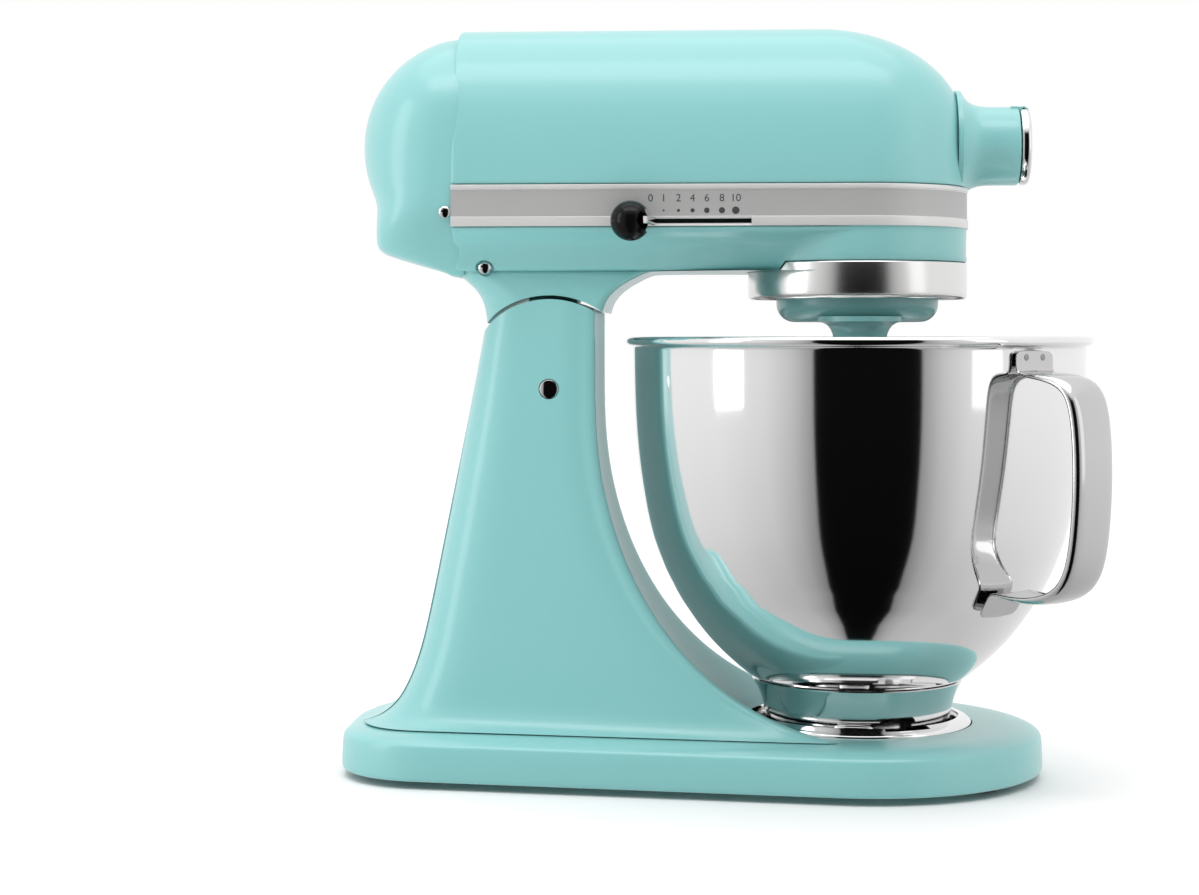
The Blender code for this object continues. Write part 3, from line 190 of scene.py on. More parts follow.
def place(bm, name, body, look, stands=(), wall=0.0, levels=0, sharp=38):
    bmesh.ops.remove_doubles(bm, verts=bm.verts, dist=0.003)
    bmesh.ops.recalc_face_normals(bm, faces=bm.faces)
    if facesInwards(bm):
        bmesh.ops.reverse_faces(bm, faces=bm.faces)
    bmesh.ops.transform(bm, matrix=toPlace, verts=bm.verts)
    mesh = bpy.data.meshes.new(name)
    bm.to_mesh(mesh)
    bm.free()
    mesh.materials.append(looks[look])
    piece = bpy.data.objects.new(name, mesh)
    bpy.context.scene.collection.objects.link(piece)
    if wall:
        thick = piece.modifiers.new("wall", "SOLIDIFY")
        thick.thickness = wall * 0.001
        thick.offset = -1.0
        apply(piece, thick)
    if levels:
        smooth = piece.modifiers.new("smooth", "SUBSURF")
        smooth.levels = levels
        smooth.render_levels = levels
        apply(piece, smooth)
    soften(piece, sharp)
    if body:
        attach(piece, body)
    for node in stands:
        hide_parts(node)
    return piece


def apply(piece, modifier):
    bpy.context.view_layer.objects.active = piece
    bpy.ops.object.modifier_apply(modifier=modifier.name)


def soften(piece, sharp=38):
    piece.data.shade_smooth()
    if sharp:
        piece.data.set_sharp_from_angle(angle=math.radians(sharp))


def carve(piece, *cutters, operation="DIFFERENCE", sharp=38):
    for cutter in cutters:
        change = piece.modifiers.new("carve", "BOOLEAN")
        change.operation = operation
        change.solver = "EXACT"
        change.object = cutter
        apply(piece, change)
        bpy.data.objects.remove(cutter, do_unlink=True)
    soften(piece, sharp)
    return piece


turnTo = {
    "Z": Matrix.Identity(4),
    "X": Matrix.Rotation(math.radians(90), 4, "Y"),
    "Y": Matrix.Rotation(math.radians(-90), 4, "X"),
}


def spun(profile, at=(0, 0, 0), axis="Z", steps=96):
    bm = bmesh.new()
    verts = [bm.verts.new((r, 0, h)) for r, h in profile]
    for a, b in zip(verts, verts[1:]):
        bm.edges.new((a, b))
    bmesh.ops.spin(bm, geom=bm.verts[:] + bm.edges[:], cent=(0, 0, 0), axis=(0, 0, 1),
                   angle=math.tau, steps=steps, use_merge=True)
    bmesh.ops.remove_doubles(bm, verts=bm.verts, dist=0.003)
    bmesh.ops.transform(bm, matrix=Matrix.Translation(at) @ turnTo[axis], verts=bm.verts)
    return bm


def grown(loops, closed=True, capStart=False, capEnd=False):
    # the first loop is drawn, and every next one is extruded from it and moved
    bm = bmesh.new()
    row = [bm.verts.new(p) for p in loops[0]]
    pairs = list(zip(row, row[1:] + row[:1])) if closed else list(zip(row, row[1:]))
    edges = [bm.edges.new(pair) for pair in pairs]
    if capStart:
        bmesh.ops.contextual_create(bm, geom=edges)
    for loop in loops[1:]:
        old = set(row)
        made = bmesh.ops.extrude_edge_only(bm, edges=edges)["geom"]
        fresh = {v for v in made if isinstance(v, bmesh.types.BMVert)}
        after = {}
        for v in fresh:
            for e in v.link_edges:
                if e.other_vert(v) in old:
                    after[e.other_vert(v)] = v
        row = [after[v] for v in row]
        for v, p in zip(row, loop):
            v.co = p
        edges = [e for e in made if isinstance(e, bmesh.types.BMEdge) and e.verts[0] in fresh and e.verts[1] in fresh]
    if capEnd:
        bmesh.ops.contextual_create(bm, geom=edges)
    return bm


def tool(bm):
    return place(bm, "cutter", None, "enamel", sharp=0)


def boxTool(x, y, z):
    bm = bmesh.new()
    size = (x[1] - x[0], y[1] - y[0], z[1] - z[0])
    middle = ((x[0] + x[1]) / 2, (y[0] + y[1]) / 2, (z[0] + z[1]) / 2)
    bmesh.ops.create_cube(bm, size=1.0, matrix=Matrix.Translation(middle) @ Matrix.Diagonal((*size, 1)))
    return bm


def slab(outline, low, high, edge=0.0, segments=3):
    # a side-view outline made thick across, with its long edges rounded if asked
    bm = bmesh.new()
    face = bm.faces.new([bm.verts.new((x, low, z)) for x, z in outline])
    lifted = bmesh.ops.extrude_face_region(bm, geom=[face])["geom"]
    bmesh.ops.translate(bm, vec=(0, high - low, 0), verts=[v for v in lifted if isinstance(v, bmesh.types.BMVert)])
    bmesh.ops.recalc_face_normals(bm, faces=bm.faces)
    if edge:
        rims = [e for e in bm.edges if abs(e.verts[0].co.y - e.verts[1].co.y) < 0.1]
        bmesh.ops.bevel(bm, geom=rims, offset=edge, offset_type="OFFSET", segments=segments, profile=0.5,
                        affect="EDGES", material=-1)
    return bm


def rodTool(radius, low, high, at=(0, 0, 0), axis="Z", steps=64):
    return spun([(0, low), (radius, low), (radius, high), (0, high)], at, axis, steps)


def arcPoints(cx, cy, radius, first, last, steps):
    out = []
    for i in range(steps + 1):
        a = math.radians(first + (last - first) * i / steps)
        out.append((cx + radius * math.cos(a), cy + radius * math.sin(a)))
    return out


def between(table, at):
    # value on a table of (position, value...) rows, eased between its rows
    if at <= table[0][0]:
        return table[0][1:]
    for low, high in zip(table, table[1:]):
        if at <= high[0]:
            f = (at - low[0]) / (high[0] - low[0])
            return tuple(a + (b - a) * f for a, b in zip(low[1:], high[1:]))
    return table[-1][1:]


# ---- head ----

head = {
    "half": 51.7, "top": 352.8, "rear": -188.5, "bandTop": 276.7, "split": 266.6, "bandLow": 257.0,
    "roundness": 2.38, "noseCentre": (-20.0, 300.0), "noseReach": (71.9, 52.8), "noseRoundness": 2.08,
}
hinge = {"x": -144.3, "z": 182.3, "saddle": 41.8, "gap": 1.8, "lug": 12.5}


def crownSection(t):
    # half width, height and outward normal of the crown, t from 0 at the band to 1 on top
    a = t * math.pi / 2
    n = head["roundness"]
    tall = head["top"] - 277.4
    c = math.cos(a) ** (2 / n) if t < 1 else 0.0
    s = math.sin(a) ** (2 / n)
    normal = Vector((c ** (n - 1) / head["half"], s ** (n - 1) / tall))
    normal.normalize()
    return head["half"] * c, 277.4 + tall * s, normal


def crownReach(z):
    if z <= head["noseCentre"][1]:
        return 51.9
    f = (z - head["noseCentre"][1]) / head["noseReach"][1]
    n = head["noseRoundness"]
    return head["noseCentre"][0] + head["noseReach"][0] * max(0.0, 1 - f ** n) ** (1 / n)


def headChain(half, z, reach, normal, inset=0.0):
    # from the rear on the right, round the nose, to the rear on the left
    chain = []
    rear = head["rear"]
    for x, d in ((rear, 1.9), (rear, 1.3), (rear + 0.5, 0.4), (rear + 1.7, 0.0), (rear + 4.0, 0.0)):
        chain.append((x, half - (inset + d) * normal.x, z - (inset + d) * normal.y))
    centre = min(0.0, reach - half)
    for i in range(1, 7):
        x = rear + 4.0 + (centre - rear - 4.0) * i / 7
        chain.append((x, half - inset * normal.x, z - inset * normal.y))
    front = []
    for i in range(15):
        a = math.radians(90 - 90 * i / 14)
        front.append((centre + (reach - centre) * math.cos(a), (half - inset) * math.sin(a), z - inset * normal.y))
    chain += front
    left = [(x, -max(0.0, y), zz) for x, y, zz in chain[:-1]]
    return [(x, max(0.0, y), zz) for x, y, zz in chain] + left[::-1]


def makeUpperHousing():
    loops = []
    flat = Vector((1.0, 0.0))
    for z, inset in ((head["split"] + 0.1, 1.7), (272.0, 1.7), (276.75, 1.7), (276.8, 1.2), (276.95, 0.4), (277.3, 0.0)):
        loops.append(headChain(head["half"] - inset, z, 51.9 - inset, flat))
    steps = [0.05, 0.1, 0.16, 0.22, 0.28, 0.34, 0.4, 0.46, 0.52, 0.58, 0.64, 0.7, 0.76, 0.82, 0.88, 0.93, 0.97, 0.99, 1.0]
    for t in steps:
        half, z, normal = crownSection(t)
        loops.append(headChain(half, z, crownReach(z), normal))
    bm = grown(loops, closed=False)
    bmesh.ops.remove_doubles(bm, verts=bm.verts, dist=0.003)
    piece = place(bm, "headCrown", "head", "enamel", ("head_upper_housing",), wall=2.6, levels=2)
    carve(piece, tool(rodTool(12.7, 30.0, 90.0, (0, 0, 297.0), "X")))
    hub = [(12.7, 46.0), (12.7, 74.9), (13.2, 75.5), (13.9, 75.7), (17.6, 75.7), (18.3, 75.45), (18.6, 74.7),
           (18.6, 64.0), (18.7, 60.0), (19.1, 57.0), (19.9, 54.4), (21.1, 52.2), (23.2, 50.2), (26.4, 48.2),
           (26.4, 46.0), (12.7, 46.0)]
    barrel = place(spun(hub, (0, 0, 297.0), "X"), "hubBarrel", "head", "enamel")
    carve(barrel, tool(rodTool(3.4, 6.0, 40.0, (63.0, 0, 297.0), "Y", 32)))
    for side in (-1, 1):
        ear = [(72.0, 310.4), (76.8, 311.8)] + arcPoints(77.9, 313.6, 1.8, -60, 120, 8) + [(72.0, 315.4)]
        bm = slab(ear, min(side * 4.3, side * 6.9), max(side * 4.3, side * 6.9), 0.3, 2)
        place(bm, "hubEar" + ("Left" if side > 0 else "Right"), "head", "enamel")


lowerWidths = [  # height, half width of the casting below the band
    (237.3, 33.6), (237.6, 35.0), (238.5, 36.2), (240.8, 37.6), (244.4, 39.8), (248.2, 42.4), (251.0, 45.0),
    (253.0, 47.6), (254.4, 50.0), (255.6, 51.3), (257.0, 51.7),
]
neckShape = [  # height, rear, front, half width at the rear and front, rear and front corner radius
    (237.2, -187.4, -94.0, 33.0, 33.4, 8, 5), (236.6, -187.5, -98.2, 33.8, 34.6, 9, 5), (234.8, -187.2, -102.8, 34.4, 36.2, 11, 4.5),
    (229.6, -180.8, -112.2, 34.2, 37.4, 14, 4), (224.6, -177.5, -117.1, 33.9, 38.0, 16, 4), (218.6, -175.8, -119.3, 33.8, 38.2, 17, 4),
]


def lowerLoop(z, half, rear=-188.3, corner=1.4):
    # half a loop from the middle of the rear to the tip of the nose, then its mirror
    half = min(half, 51.69)
    points = [(rear, 0.0), (rear, -half * 0.5)]
    points += [(rear, -half + corner), (rear + corner * 0.3, -half + corner * 0.3), (rear + corner, -half)]
    meet = -math.sqrt(head["half"] ** 2 - half ** 2)
    for i in range(1, 10):
        f = i / 10
        points.append((rear + corner + (meet - rear - corner) * (1 - (1 - f) ** 1.4), -half))
    start = 90 + math.degrees(math.asin(-meet / head["half"]))
    for i in range(13):
        a = math.radians(-start + start * i / 12)
        points.append((head["half"] * math.cos(a), head["half"] * math.sin(a)))
    return [(x, y, z) for x, y in points + [(x, -y) for x, y in points[-2:0:-1]]]


def neckLoop(z, rear, front, rearHalf, frontHalf, rearRound, frontRound):
    points = [(rear, 0.0), (rear, -rearHalf * 0.5)]
    points += arcPoints(rear + rearRound, -rearHalf + rearRound, rearRound, -180, -90, 2)
    for i in range(1, 10):
        f = i / 10
        x = rear + rearRound + (front - frontRound - rear - rearRound) * f
        points.append((x, -(rearHalf + (frontHalf - rearHalf) * f)))
    points += arcPoints(front - frontRound, -frontHalf + frontRound, frontRound, -90, 0, 6)
    for i in range(1, 7):
        points.append((front, (-frontHalf + frontRound) * (1 - i / 6)))
    loop = points + [(x, -y) for x, y in points[-2:0:-1]]
    return [(x, y, z) for x, y in loop]


def makeLowerHousing():
    loops = []
    for z, inset in ((266.4, 1.7), (262.0, 1.7), (257.4, 1.7), (257.15, 1.2)):
        loops.append(lowerLoop(z, head["half"] - inset))
    for z, half in reversed(lowerWidths):
        loops.append(lowerLoop(z, half))
    for row in neckShape:
        loops.append(neckLoop(*row))
    for z in (211.0, 205.0, 204.0):
        loops.append(neckLoop(z, -175.0, -120.6, 33.8, 38.2, 17, 4))
    piece = place(grown(loops, capStart=True, capEnd=True), "gearcase", "head", "enamel",
                  ("head_lower_housing",), levels=2)
    carve(piece, tool(rodTool(hinge["saddle"] + hinge["gap"], -60.0, 60.0, (hinge["x"], 0, hinge["z"]), "Y", 128)))
    room = []
    for z, share in ((246.0, 0.66), (249.0, 0.76), (254.0, 0.86), (258.0, 0.915), (270.0, 0.915)):
        room.append([(x * share if x > 0 else x, y * share, h) for x, y, h in lowerLoop(z, 51.69, rear=-193.0)])
    carve(piece, tool(grown(room, capStart=True, capEnd=True)))
    # the underside makes room for the drip ring, and the sides for the sunk screws
    carve(piece, tool(rodTool(52.4, 230.0, 241.7)))
    for side in (-1, 1):
        # a drop-shaped pocket that runs out downwards
        recess = spun([(0, 0), (4.2, 0), (4.4, 3.0), (5.6, 16.0), (0, 16.0)], (0, 0, 0), "Y", 40)
        bmesh.ops.rotate(recess, cent=(0, 0, 0), matrix=Matrix.Rotation(math.radians(-34), 3, "X"), verts=recess.verts)
        if side < 0:
            bmesh.ops.transform(recess, matrix=Matrix.Scale(-1, 4, (0, 1, 0)), verts=recess.verts)
        bmesh.ops.translate(recess, vec=(-174.3, side * 34.2, 239.8), verts=recess.verts)
        carve(piece, tool(recess))
    carve(piece, tool(boxTool((-97.9, -49.9), (-60.0, -40.0), (257.6, 261.8))))
    carve(piece, tool(rodTool(3.4, 20.0, 60.0, (-125.0, 0, 233.0), "Y", 32)))
    nose = spun([(0, 241.9), (46.0, 241.9), (50.9, 241.75), (51.5, 242.0), (51.7, 242.6), (51.7, 244.0)], steps=96)
    place(nose, "noseRim", "head", "enamel")
    outline = arcPoints(hinge["x"], hinge["z"], hinge["lug"], -180, 0, 24) + [(hinge["x"] + 11.5, 229.0), (hinge["x"] - 11.5, 229.0)]
    knuckle = place(slab(outline, -12.0, 12.0, 0.8), "hingeLug", "head", "enamel")
    carve(knuckle, tool(rodTool(4.8, -30.0, 30.0, (hinge["x"], 0, hinge["z"]), "Y", 48)))


cover = {"front": -188.9}
coverShape = [  # height, rearmost, half width at the seam, squareness of the plan
    (234.4, -190.6, 30.0, 5.0), (236.2, -192.6, 33.5, 5.0), (239.0, -203.0, 36.0, 5.0), (242.2, -214.0, 38.6, 5.0), (244.6, -221.6, 40.2, 4.8),
    (246.6, -225.6, 41.8, 4.6), (249.6, -227.3, 43.6, 4.6), (254.0, -227.5, 46.2, 4.4), (259.0, -227.5, 48.6, 4.0),
    (264.0, -227.6, 50.0, 3.5), (268.7, -228.0, 50.6, 3.1), (273.6, -229.9, 50.8, 2.8), (279.0, -232.4, 50.9, 2.6),
    (285.0, -234.3, 50.9, 2.45), (292.0, -235.5, 50.8, 2.35), (299.0, -235.7, 50.5, 2.3), (306.0, -235.0, 49.9, 2.25),
    (312.0, -233.7, 48.9, 2.2), (318.0, -231.5, 47.2, 2.2), (323.0, -229.0, 45.0, 2.2), (328.0, -225.7, 42.0, 2.2),
    (333.0, -221.5, 38.0, 2.2), (337.0, -217.4, 33.9, 2.2), (340.4, -212.8, 29.4, 2.2), (343.4, -208.0, 24.6, 2.2),
    (345.8, -203.1, 19.6, 2.2), (347.6, -198.0, 14.0, 2.2), (348.8, -193.2, 7.6, 2.2), (349.3, -189.4, 0.0, 2.2),
]


def makeRearCover():
    loops = []
    for z, rear, half, square in coverShape:
        loop = [(cover["front"] + 5.0, half - 1.2 if half > 3 else half * 0.5, z), (cover["front"] + 2.0, half, z)]
        for i in range(19):
            a = math.radians(90 + 90 * i / 18)
            c, s = abs(math.cos(a)), abs(math.sin(a))
            loop.append((cover["front"] + c ** (2 / square) * (rear - cover["front"]), s ** (2 / square) * half, z))
        loops.append(loop + [(x, -y, zz) for x, y, zz in loop[-2::-1]])
    bm = grown(loops, closed=False)
    place(bm, "rearCowl", "head", "enamel", ("rear_cover",), wall=2.0, levels=2)


slot = {"rear": -97.6, "front": -50.2, "low": 257.4, "high": 261.55}


def makeBand():
    stripes = [(257.25, 0.15, 0), (257.45, 0.55, 0), (257.85, 0.62, 0), (261.2, 0.62, 0), (261.55, 0.55, 0), (261.8, 0.15, 0), (262.2, 0.1, 1),
               (268.0, 0.1, 1), (274.0, 0.1, 1), (274.4, 0.15, 0), (274.6, 0.55, 0), (275.0, 0.62, 0), (276.0, 0.62, 0), (276.35, 0.5, 0), (276.5, 0.15, 0)]
    loops = []
    for z, out, _ in stripes:
        half = head["half"] + out
        chain = [(x, -half) for x in (head["rear"] + 0.2, -165.0, -140.0, -118.0, slot["rear"], slot["front"], -34.0, -17.0)]
        chain += arcPoints(0, 0, half, -90, 90, 48)
        chain += [(x, -y) for x, y in chain[:8][::-1]]
        loops.append([(x, y, z) for x, y in chain])
    bm = grown(loops, closed=False)
    opened = []
    for face in bm.faces:
        at = face.calc_center_median()
        if slot["rear"] < at.x < slot["front"] and at.y < 0 and slot["low"] < at.z < slot["high"]:
            opened.append(face)
    bmesh.ops.delete(bm, geom=opened, context="FACES")
    piece = place(bm, "trimBand", "head", "bandLight", ("trim_band",), wall=1.4, sharp=30)
    piece.data.materials.append(looks["bandDark"])
    low, high = 0.2619, 0.2742
    for face in piece.data.polygons:
        if low < face.center.z < high:
            face.material_index = 1


speedScale = [  # mark, place along the band, dot diameter
    ("0", -96.3, 0), ("1", -90.3, 0.9), ("2", -83.5, 1.4), ("4", -77.1, 1.9), ("6", -70.6, 2.5), ("8", -63.7, 2.8), ("10", -57.4, 3.4),
]


def makeScale():
    wall = -(head["half"] + 0.1)
    for mark, x, dot in speedScale:
        curve = bpy.data.curves.new("mark", "FONT")
        curve.body = mark
        curve.size = 4.9
        curve.align_x = "CENTER"
        curve.extrude = 0.03
        words = bpy.data.objects.new("mark", curve)
        bpy.context.scene.collection.objects.link(words)
        bpy.context.view_layer.update()
        mesh = bpy.data.meshes.new_from_object(words.evaluated_get(bpy.context.evaluated_depsgraph_get()))
        bpy.data.objects.remove(words, do_unlink=True)
        bm = bmesh.new()
        bm.from_mesh(mesh)
        bpy.data.meshes.remove(mesh)
        bmesh.ops.transform(bm, matrix=Matrix.Translation((x, wall - 0.02, 268.4)) @ Matrix.Rotation(math.radians(90), 4, "X"),
                            verts=bm.verts)
        place(bm, "scaleMark" + mark, "head", "ink")
        if dot:
            bm = rodTool(dot / 2, wall - 0.05, wall + 0.05, (x, 0, 264.3), "Y", 32)
            place(bm, "scaleDot" + mark, "head", "ink")


def makeDripRing():
    profile = [(49.2, 226.4), (49.5, 225.2), (50.0, 224.6), (50.6, 224.4), (51.1, 224.7), (51.5, 225.5), (51.7, 226.8), (51.7, 228.5),
               (51.7, 240.6), (51.5, 241.1), (51.1, 241.4), (50.0, 241.4), (49.2, 241.2), (49.2, 226.4)]
    place(spun(profile, steps=128), "dripRing", "head", "satinRing", ("drip_ring",))
    # a thin near-black disc of painted shade across the nose's hollow above the planetary
    place(spun([(0.1, 241.0), (49.0, 241.0), (49.0, 240.4), (7.0, 240.4), (7.0, 241.0)], steps=64), "noseShade", "head", "shade")


def makePlanetary():
    r, low = 38.3, 213.6
    profile = [(6.3, 231.6), (36.8, 231.6), (37.9, 231.2), (38.3, 230.2)] + arcPoints(r - 8.5, low + 8.5, 8.5, 0, -90, 12)
    profile += [(20.0, low), (6.9, low), (6.3, low + 0.6), (6.3, 231.6)]
    body = place(spun(profile, steps=128), "planetaryBody", "carrier", "enamel", ("planetary",))
    boss = [(6.5, 197.2), (7.2, 196.6), (11.2, 196.6), (12.0, 197.1), (12.25, 198.2), (12.25, 205.4), (12.6, 207.8), (13.5, 210.0),
            (14.9, 211.8), (16.8, 213.0), (19.5, 213.7), (19.5, 216.0), (6.5, 216.0), (6.5, 197.2)]
    place(spun(boss, (0, -28.5, 0), steps=96), "planetaryBoss", "carrier", "enamel")
    shaft = [(0, 168.0), (4.4, 168.0), (5.1, 168.5), (5.5, 169.4), (5.5, 196.0), (6.1, 197.0), (6.1, 240.1), (0, 240.1)]
    piece = place(spun(shaft, (0, -28.5, 0), steps=48), "beaterShaft", "beater_drive", "bright", ("beater_shaft",))
    carve(piece, tool(rodTool(1.9, -20, 20, (0, -28.5, 178.0), "X", 24)))
    pin = [(0, -9.0), (1.2, -9.0), (1.6, -8.6), (1.6, 8.6), (1.2, 9.0), (0, 9.0)]
    place(spun(pin, (0, -28.5, 178.0), "X", 24), "beaterPin", "beater_drive", "bright", ("beater_pin",))


def makeControls():
    x, y, z = -105.0, -61.0, 259.2
    ball = [(0, y - 9.2)] + [(9.2 * math.sin(math.radians(a)), y - 9.2 * math.cos(math.radians(a))) for a in range(8, 136, 8)]
    ball += [(0, ball[-1][1])]
    knob = place(spun(ball, (x, 0, z), "Y", 96), "speedBall", "speed_control", "gloss", ("speed_knob",))
    bite = spun([(0, -12.0)] + [(5.4, -12.0), (5.4, 3.6), (4.6, 4.4), (0, 4.4)], (0, 0, 0), "Y", 48)
    bmesh.ops.transform(bite, matrix=Matrix.Translation((x + 8.8, y + 0.5, z + 0.2)), verts=bite.verts)
    carve(knob, tool(bite))
    bm = bmesh.new()
    strip = [(-99.2, -60.6), (-97.2, -59.0), (-94.8, -54.4), (-93.0, -48.0), (-92.8, -42.6), (-94.6, -42.6), (-94.8, -48.4),
             (-96.4, -53.8), (-98.4, -57.4), (-100.2, -58.6)]
    face = bm.faces.new([bm.verts.new((px, py, 257.95)) for px, py in strip])
    lifted = bmesh.ops.extrude_face_region(bm, geom=[face])["geom"]
    bmesh.ops.translate(bm, vec=(0, 0, 3.5), verts=[v for v in lifted if isinstance(v, bmesh.types.BMVert)])
    bmesh.ops.recalc_face_normals(bm, faces=bm.faces)
    bmesh.ops.bevel(bm, geom=[e for e in bm.edges if abs(e.verts[0].co.z - e.verts[1].co.z) < 0.1], offset=0.3,
                    offset_type="OFFSET", segments=2, profile=0.5, affect="EDGES", material=-1)
    place(bm, "speedLever", "speed_control", "bright", ("speed_lever",))
    bm = boxTool((-200.0, -92.6), (-44.6, -42.4), (257.3, 261.3))
    bmesh.ops.bevel(bm, geom=bm.edges[:], offset=0.4, offset_type="OFFSET", segments=2, profile=0.5, affect="EDGES", material=-1)
    place(bm, "speedLink", "speed_control", "resin")
    # a near-black plate of painted shade inside the head, behind the speed slot
    place(boxTool((-108.0, -42.0), (-41.8, -40.8), (255.6, 265.0)), "slotShade", "head", "shade")

    lx, lz = -125.0, 233.0
    stub = [(0, 22.0), (3.0, 22.0), (3.0, 53.8), (5.6, 54.2), (6.0, 54.8), (6.0, 56.4), (5.4, 57.0), (0, 57.2)]
    place(spun(stub, (lx, 0, lz), "Y", 48), "lockShaft", "head_lock", "bright", ("lock_lever",))
    outline = arcPoints(lx, lz, 5.6, -100, 80, 14) + arcPoints(lx - 24.0, lz - 6.0, 3.8, 104, 256, 12)
    bm = slab(outline, 53.9, 56.7, 0.5)
    place(bm, "lockArm", "head_lock", "bright")
    ball = [(0, 57.4), (3.2, 57.4), (4.4, 58.2)] + [
        (7.0 * math.sin(math.radians(a)), 64.0 - 7.0 * math.cos(math.radians(a))) for a in range(45, 180, 9)] + [(0, 71.0)]
    place(spun(ball, (lx - 24.0, 0, lz - 6.0), "Y", 64), "lockBall", "head_lock", "gloss", ("lock_knob",))

    disc = [(0, 76.1), (17.3, 76.1), (18.1, 76.4), (18.45, 77.1), (18.5, 78.9), (18.1, 80.0), (17.0, 80.7), (15.6, 80.8), (14.6, 80.3),
            (12.0, 80.4), (9.0, 80.9), (5.0, 81.5), (0, 81.8)]
    lid = place(spun(disc, (0, 0, 297.0), "X", 96), "hubLid", "hub_cover", "chrome", ("hub_cover",))
    for side in (-1, 1):
        carve(lid, tool(boxTool((75.0, 84.0), (min(side * 3.8, side * 7.4), max(side * 3.8, side * 7.4)), (309.6, 320.0))))
    bm = slab([(76.3, 309.0), (79.6, 309.0)] + arcPoints(77.9, 313.6, 1.8, 0, 180, 10), -3.7, 3.7, 0.3, 2)
    place(bm, "hubKnuckle", "hub_cover", "chrome")

    bm = bmesh.new()
    lobes = []
    for i in range(72):
        a = math.tau * i / 72
        radius = 9.4 + 0.8 * math.cos(6 * a)
        lobes.append((63.0 + radius * math.cos(a), 297.0 + radius * math.sin(a)))
    loops = []
    for scale, py in ((0.9, 20.0), (0.97, 20.4), (1.0, 21.4), (1.0, 31.6), (0.97, 33.2), (0.9, 34.0), (0.55, 33.6), (0.5, 33.2)):
        loops.append([(63.0 + (a - 63.0) * scale, py, 297.0 + (b - 297.0) * scale) for a, b in lobes])
    bm = grown(loops, capStart=True, capEnd=True)
    place(bm, "attachmentGrip", "attachment_screw", "gloss", ("attachment_knob",))
    place(rodTool(3.0, 13.6, 21.0, (63.0, 0, 297.0), "Y", 32), "attachmentScrew", "attachment_screw", "bright")


def screwHead(name, body, at, side, radius, low, high, node, look="chrome"):
    dome = [(0, low - 8.0), (1.8, low - 8.0), (1.8, low), (radius, low), (radius, low + (high - low) * 0.35)]
    dome += [(radius * math.cos(math.radians(a)), low + (high - low) * (0.35 + 0.65 * math.sin(math.radians(a)))) for a in range(15, 90, 15)]
    dome += [(0, high)]
    bm = spun(dome, (0, 0, 0), "Y", 48)
    if side < 0:
        bmesh.ops.transform(bm, matrix=Matrix.Scale(-1, 4, (0, 1, 0)), verts=bm.verts)
    bmesh.ops.translate(bm, vec=(at[0], 0, at[1]), verts=bm.verts)
    piece = place(bm, name, body, look, (node,))
    for turn in (0, 90):
        bm = boxTool((-radius * 0.55, radius * 0.55), (high - 0.9, high + 2), (-0.45, 0.45))
        bmesh.ops.transform(bm, matrix=Matrix.Rotation(math.radians(turn + 20), 4, "Y"), verts=bm.verts)
        if side < 0:
            bmesh.ops.transform(bm, matrix=Matrix.Scale(-1, 4, (0, 1, 0)), verts=bm.verts)
        bmesh.ops.translate(bm, vec=(at[0], 0, at[1]), verts=bm.verts)
        carve(piece, tool(bm), sharp=40)


def makeScrews():
    for i, side in enumerate((-1, 1)):
        screwHead(f"neckScrewHead{i + 1}", "head", (-174.3, 238.9), side, 3.2, 35.2, 37.4, f"neck_screw_{i + 1}")
        screwHead(f"coverScrewHead{i + 1}", "head", (-191.2, 264.0), side, 2.9, 49.6, 51.4, f"rear_cover_screw_{i + 1}")


makeUpperHousing()
makeLowerHousing()
makeRearCover()
makeBand()
makeScale()
makeDripRing()
makePlanetary()
makeControls()
makeScrews()
print("head made")


# ---- stand ----

base = {"front": 87.0, "rear": -244.2, "rearHalf": 62.0, "corner": 45.0}
baseEdge = [  # height and inset of the casting's edge
    (3.6, 4.0), (3.45, 1.6), (3.7, 0.6), (4.6, 0.1), (7.0, 0.0), (14.0, 0.25), (18.6, 0.7), (19.6, 1.0), (20.4, 1.6), (21.4, 3.0), (22.4, 5.2),
    (23.3, 8.6), (23.9, 12.6), (24.2, 17.0), (24.35, 22.0),
]


def basePlan(inset, steps=36, cornerSteps=10):
    front = base["front"] - inset
    corner = base["corner"] - inset
    cx = base["rear"] + base["corner"]
    cy = base["rearHalf"] - base["corner"]
    lean = math.degrees(math.atan2(cy, cx) - math.acos((front - corner) / math.hypot(cx, cy)))
    right = arcPoints(cx, cy, corner, lean, 180, cornerSteps)
    ahead = arcPoints(0, 0, front, -lean, lean, steps)
    sides = []
    for i in range(1, 8):
        f = i / 8
        sides.append((ahead[-1][0] + (right[0][0] - ahead[-1][0]) * f, ahead[-1][1] + (right[0][1] - ahead[-1][1]) * f))
    return ahead + sides + right + [(x, -y) for x, y in right[::-1]] + [(x, -y) for x, y in sides[::-1]]


def makeBase():
    loops = [[(x, y, 18.0) for x, y in basePlan(6.0)], [(x, y, 6.0) for x, y in basePlan(5.0)]]
    loops += [[(x, y, z) for x, y in basePlan(inset)] for z, inset in baseEdge]
    loops += [[(x, y, 24.4) for x, y in basePlan(30.0)]]
    bm = grown(loops, capStart=True, capEnd=True)
    piece = place(bm, "baseCasting", "stand", "enamel", ("base_casting",), levels=1)
    carve(piece, tool(rodTool(54.3, 17.5, 60.0, steps=128)))
    well = [(54.3, 24.2), (54.3, 18.2), (0, 18.2), (0, 17.2), (55.4, 17.2), (55.4, 23.6), (54.3, 24.2)]
    place(spun(well, steps=128), "clampWell", "stand", "enamel")


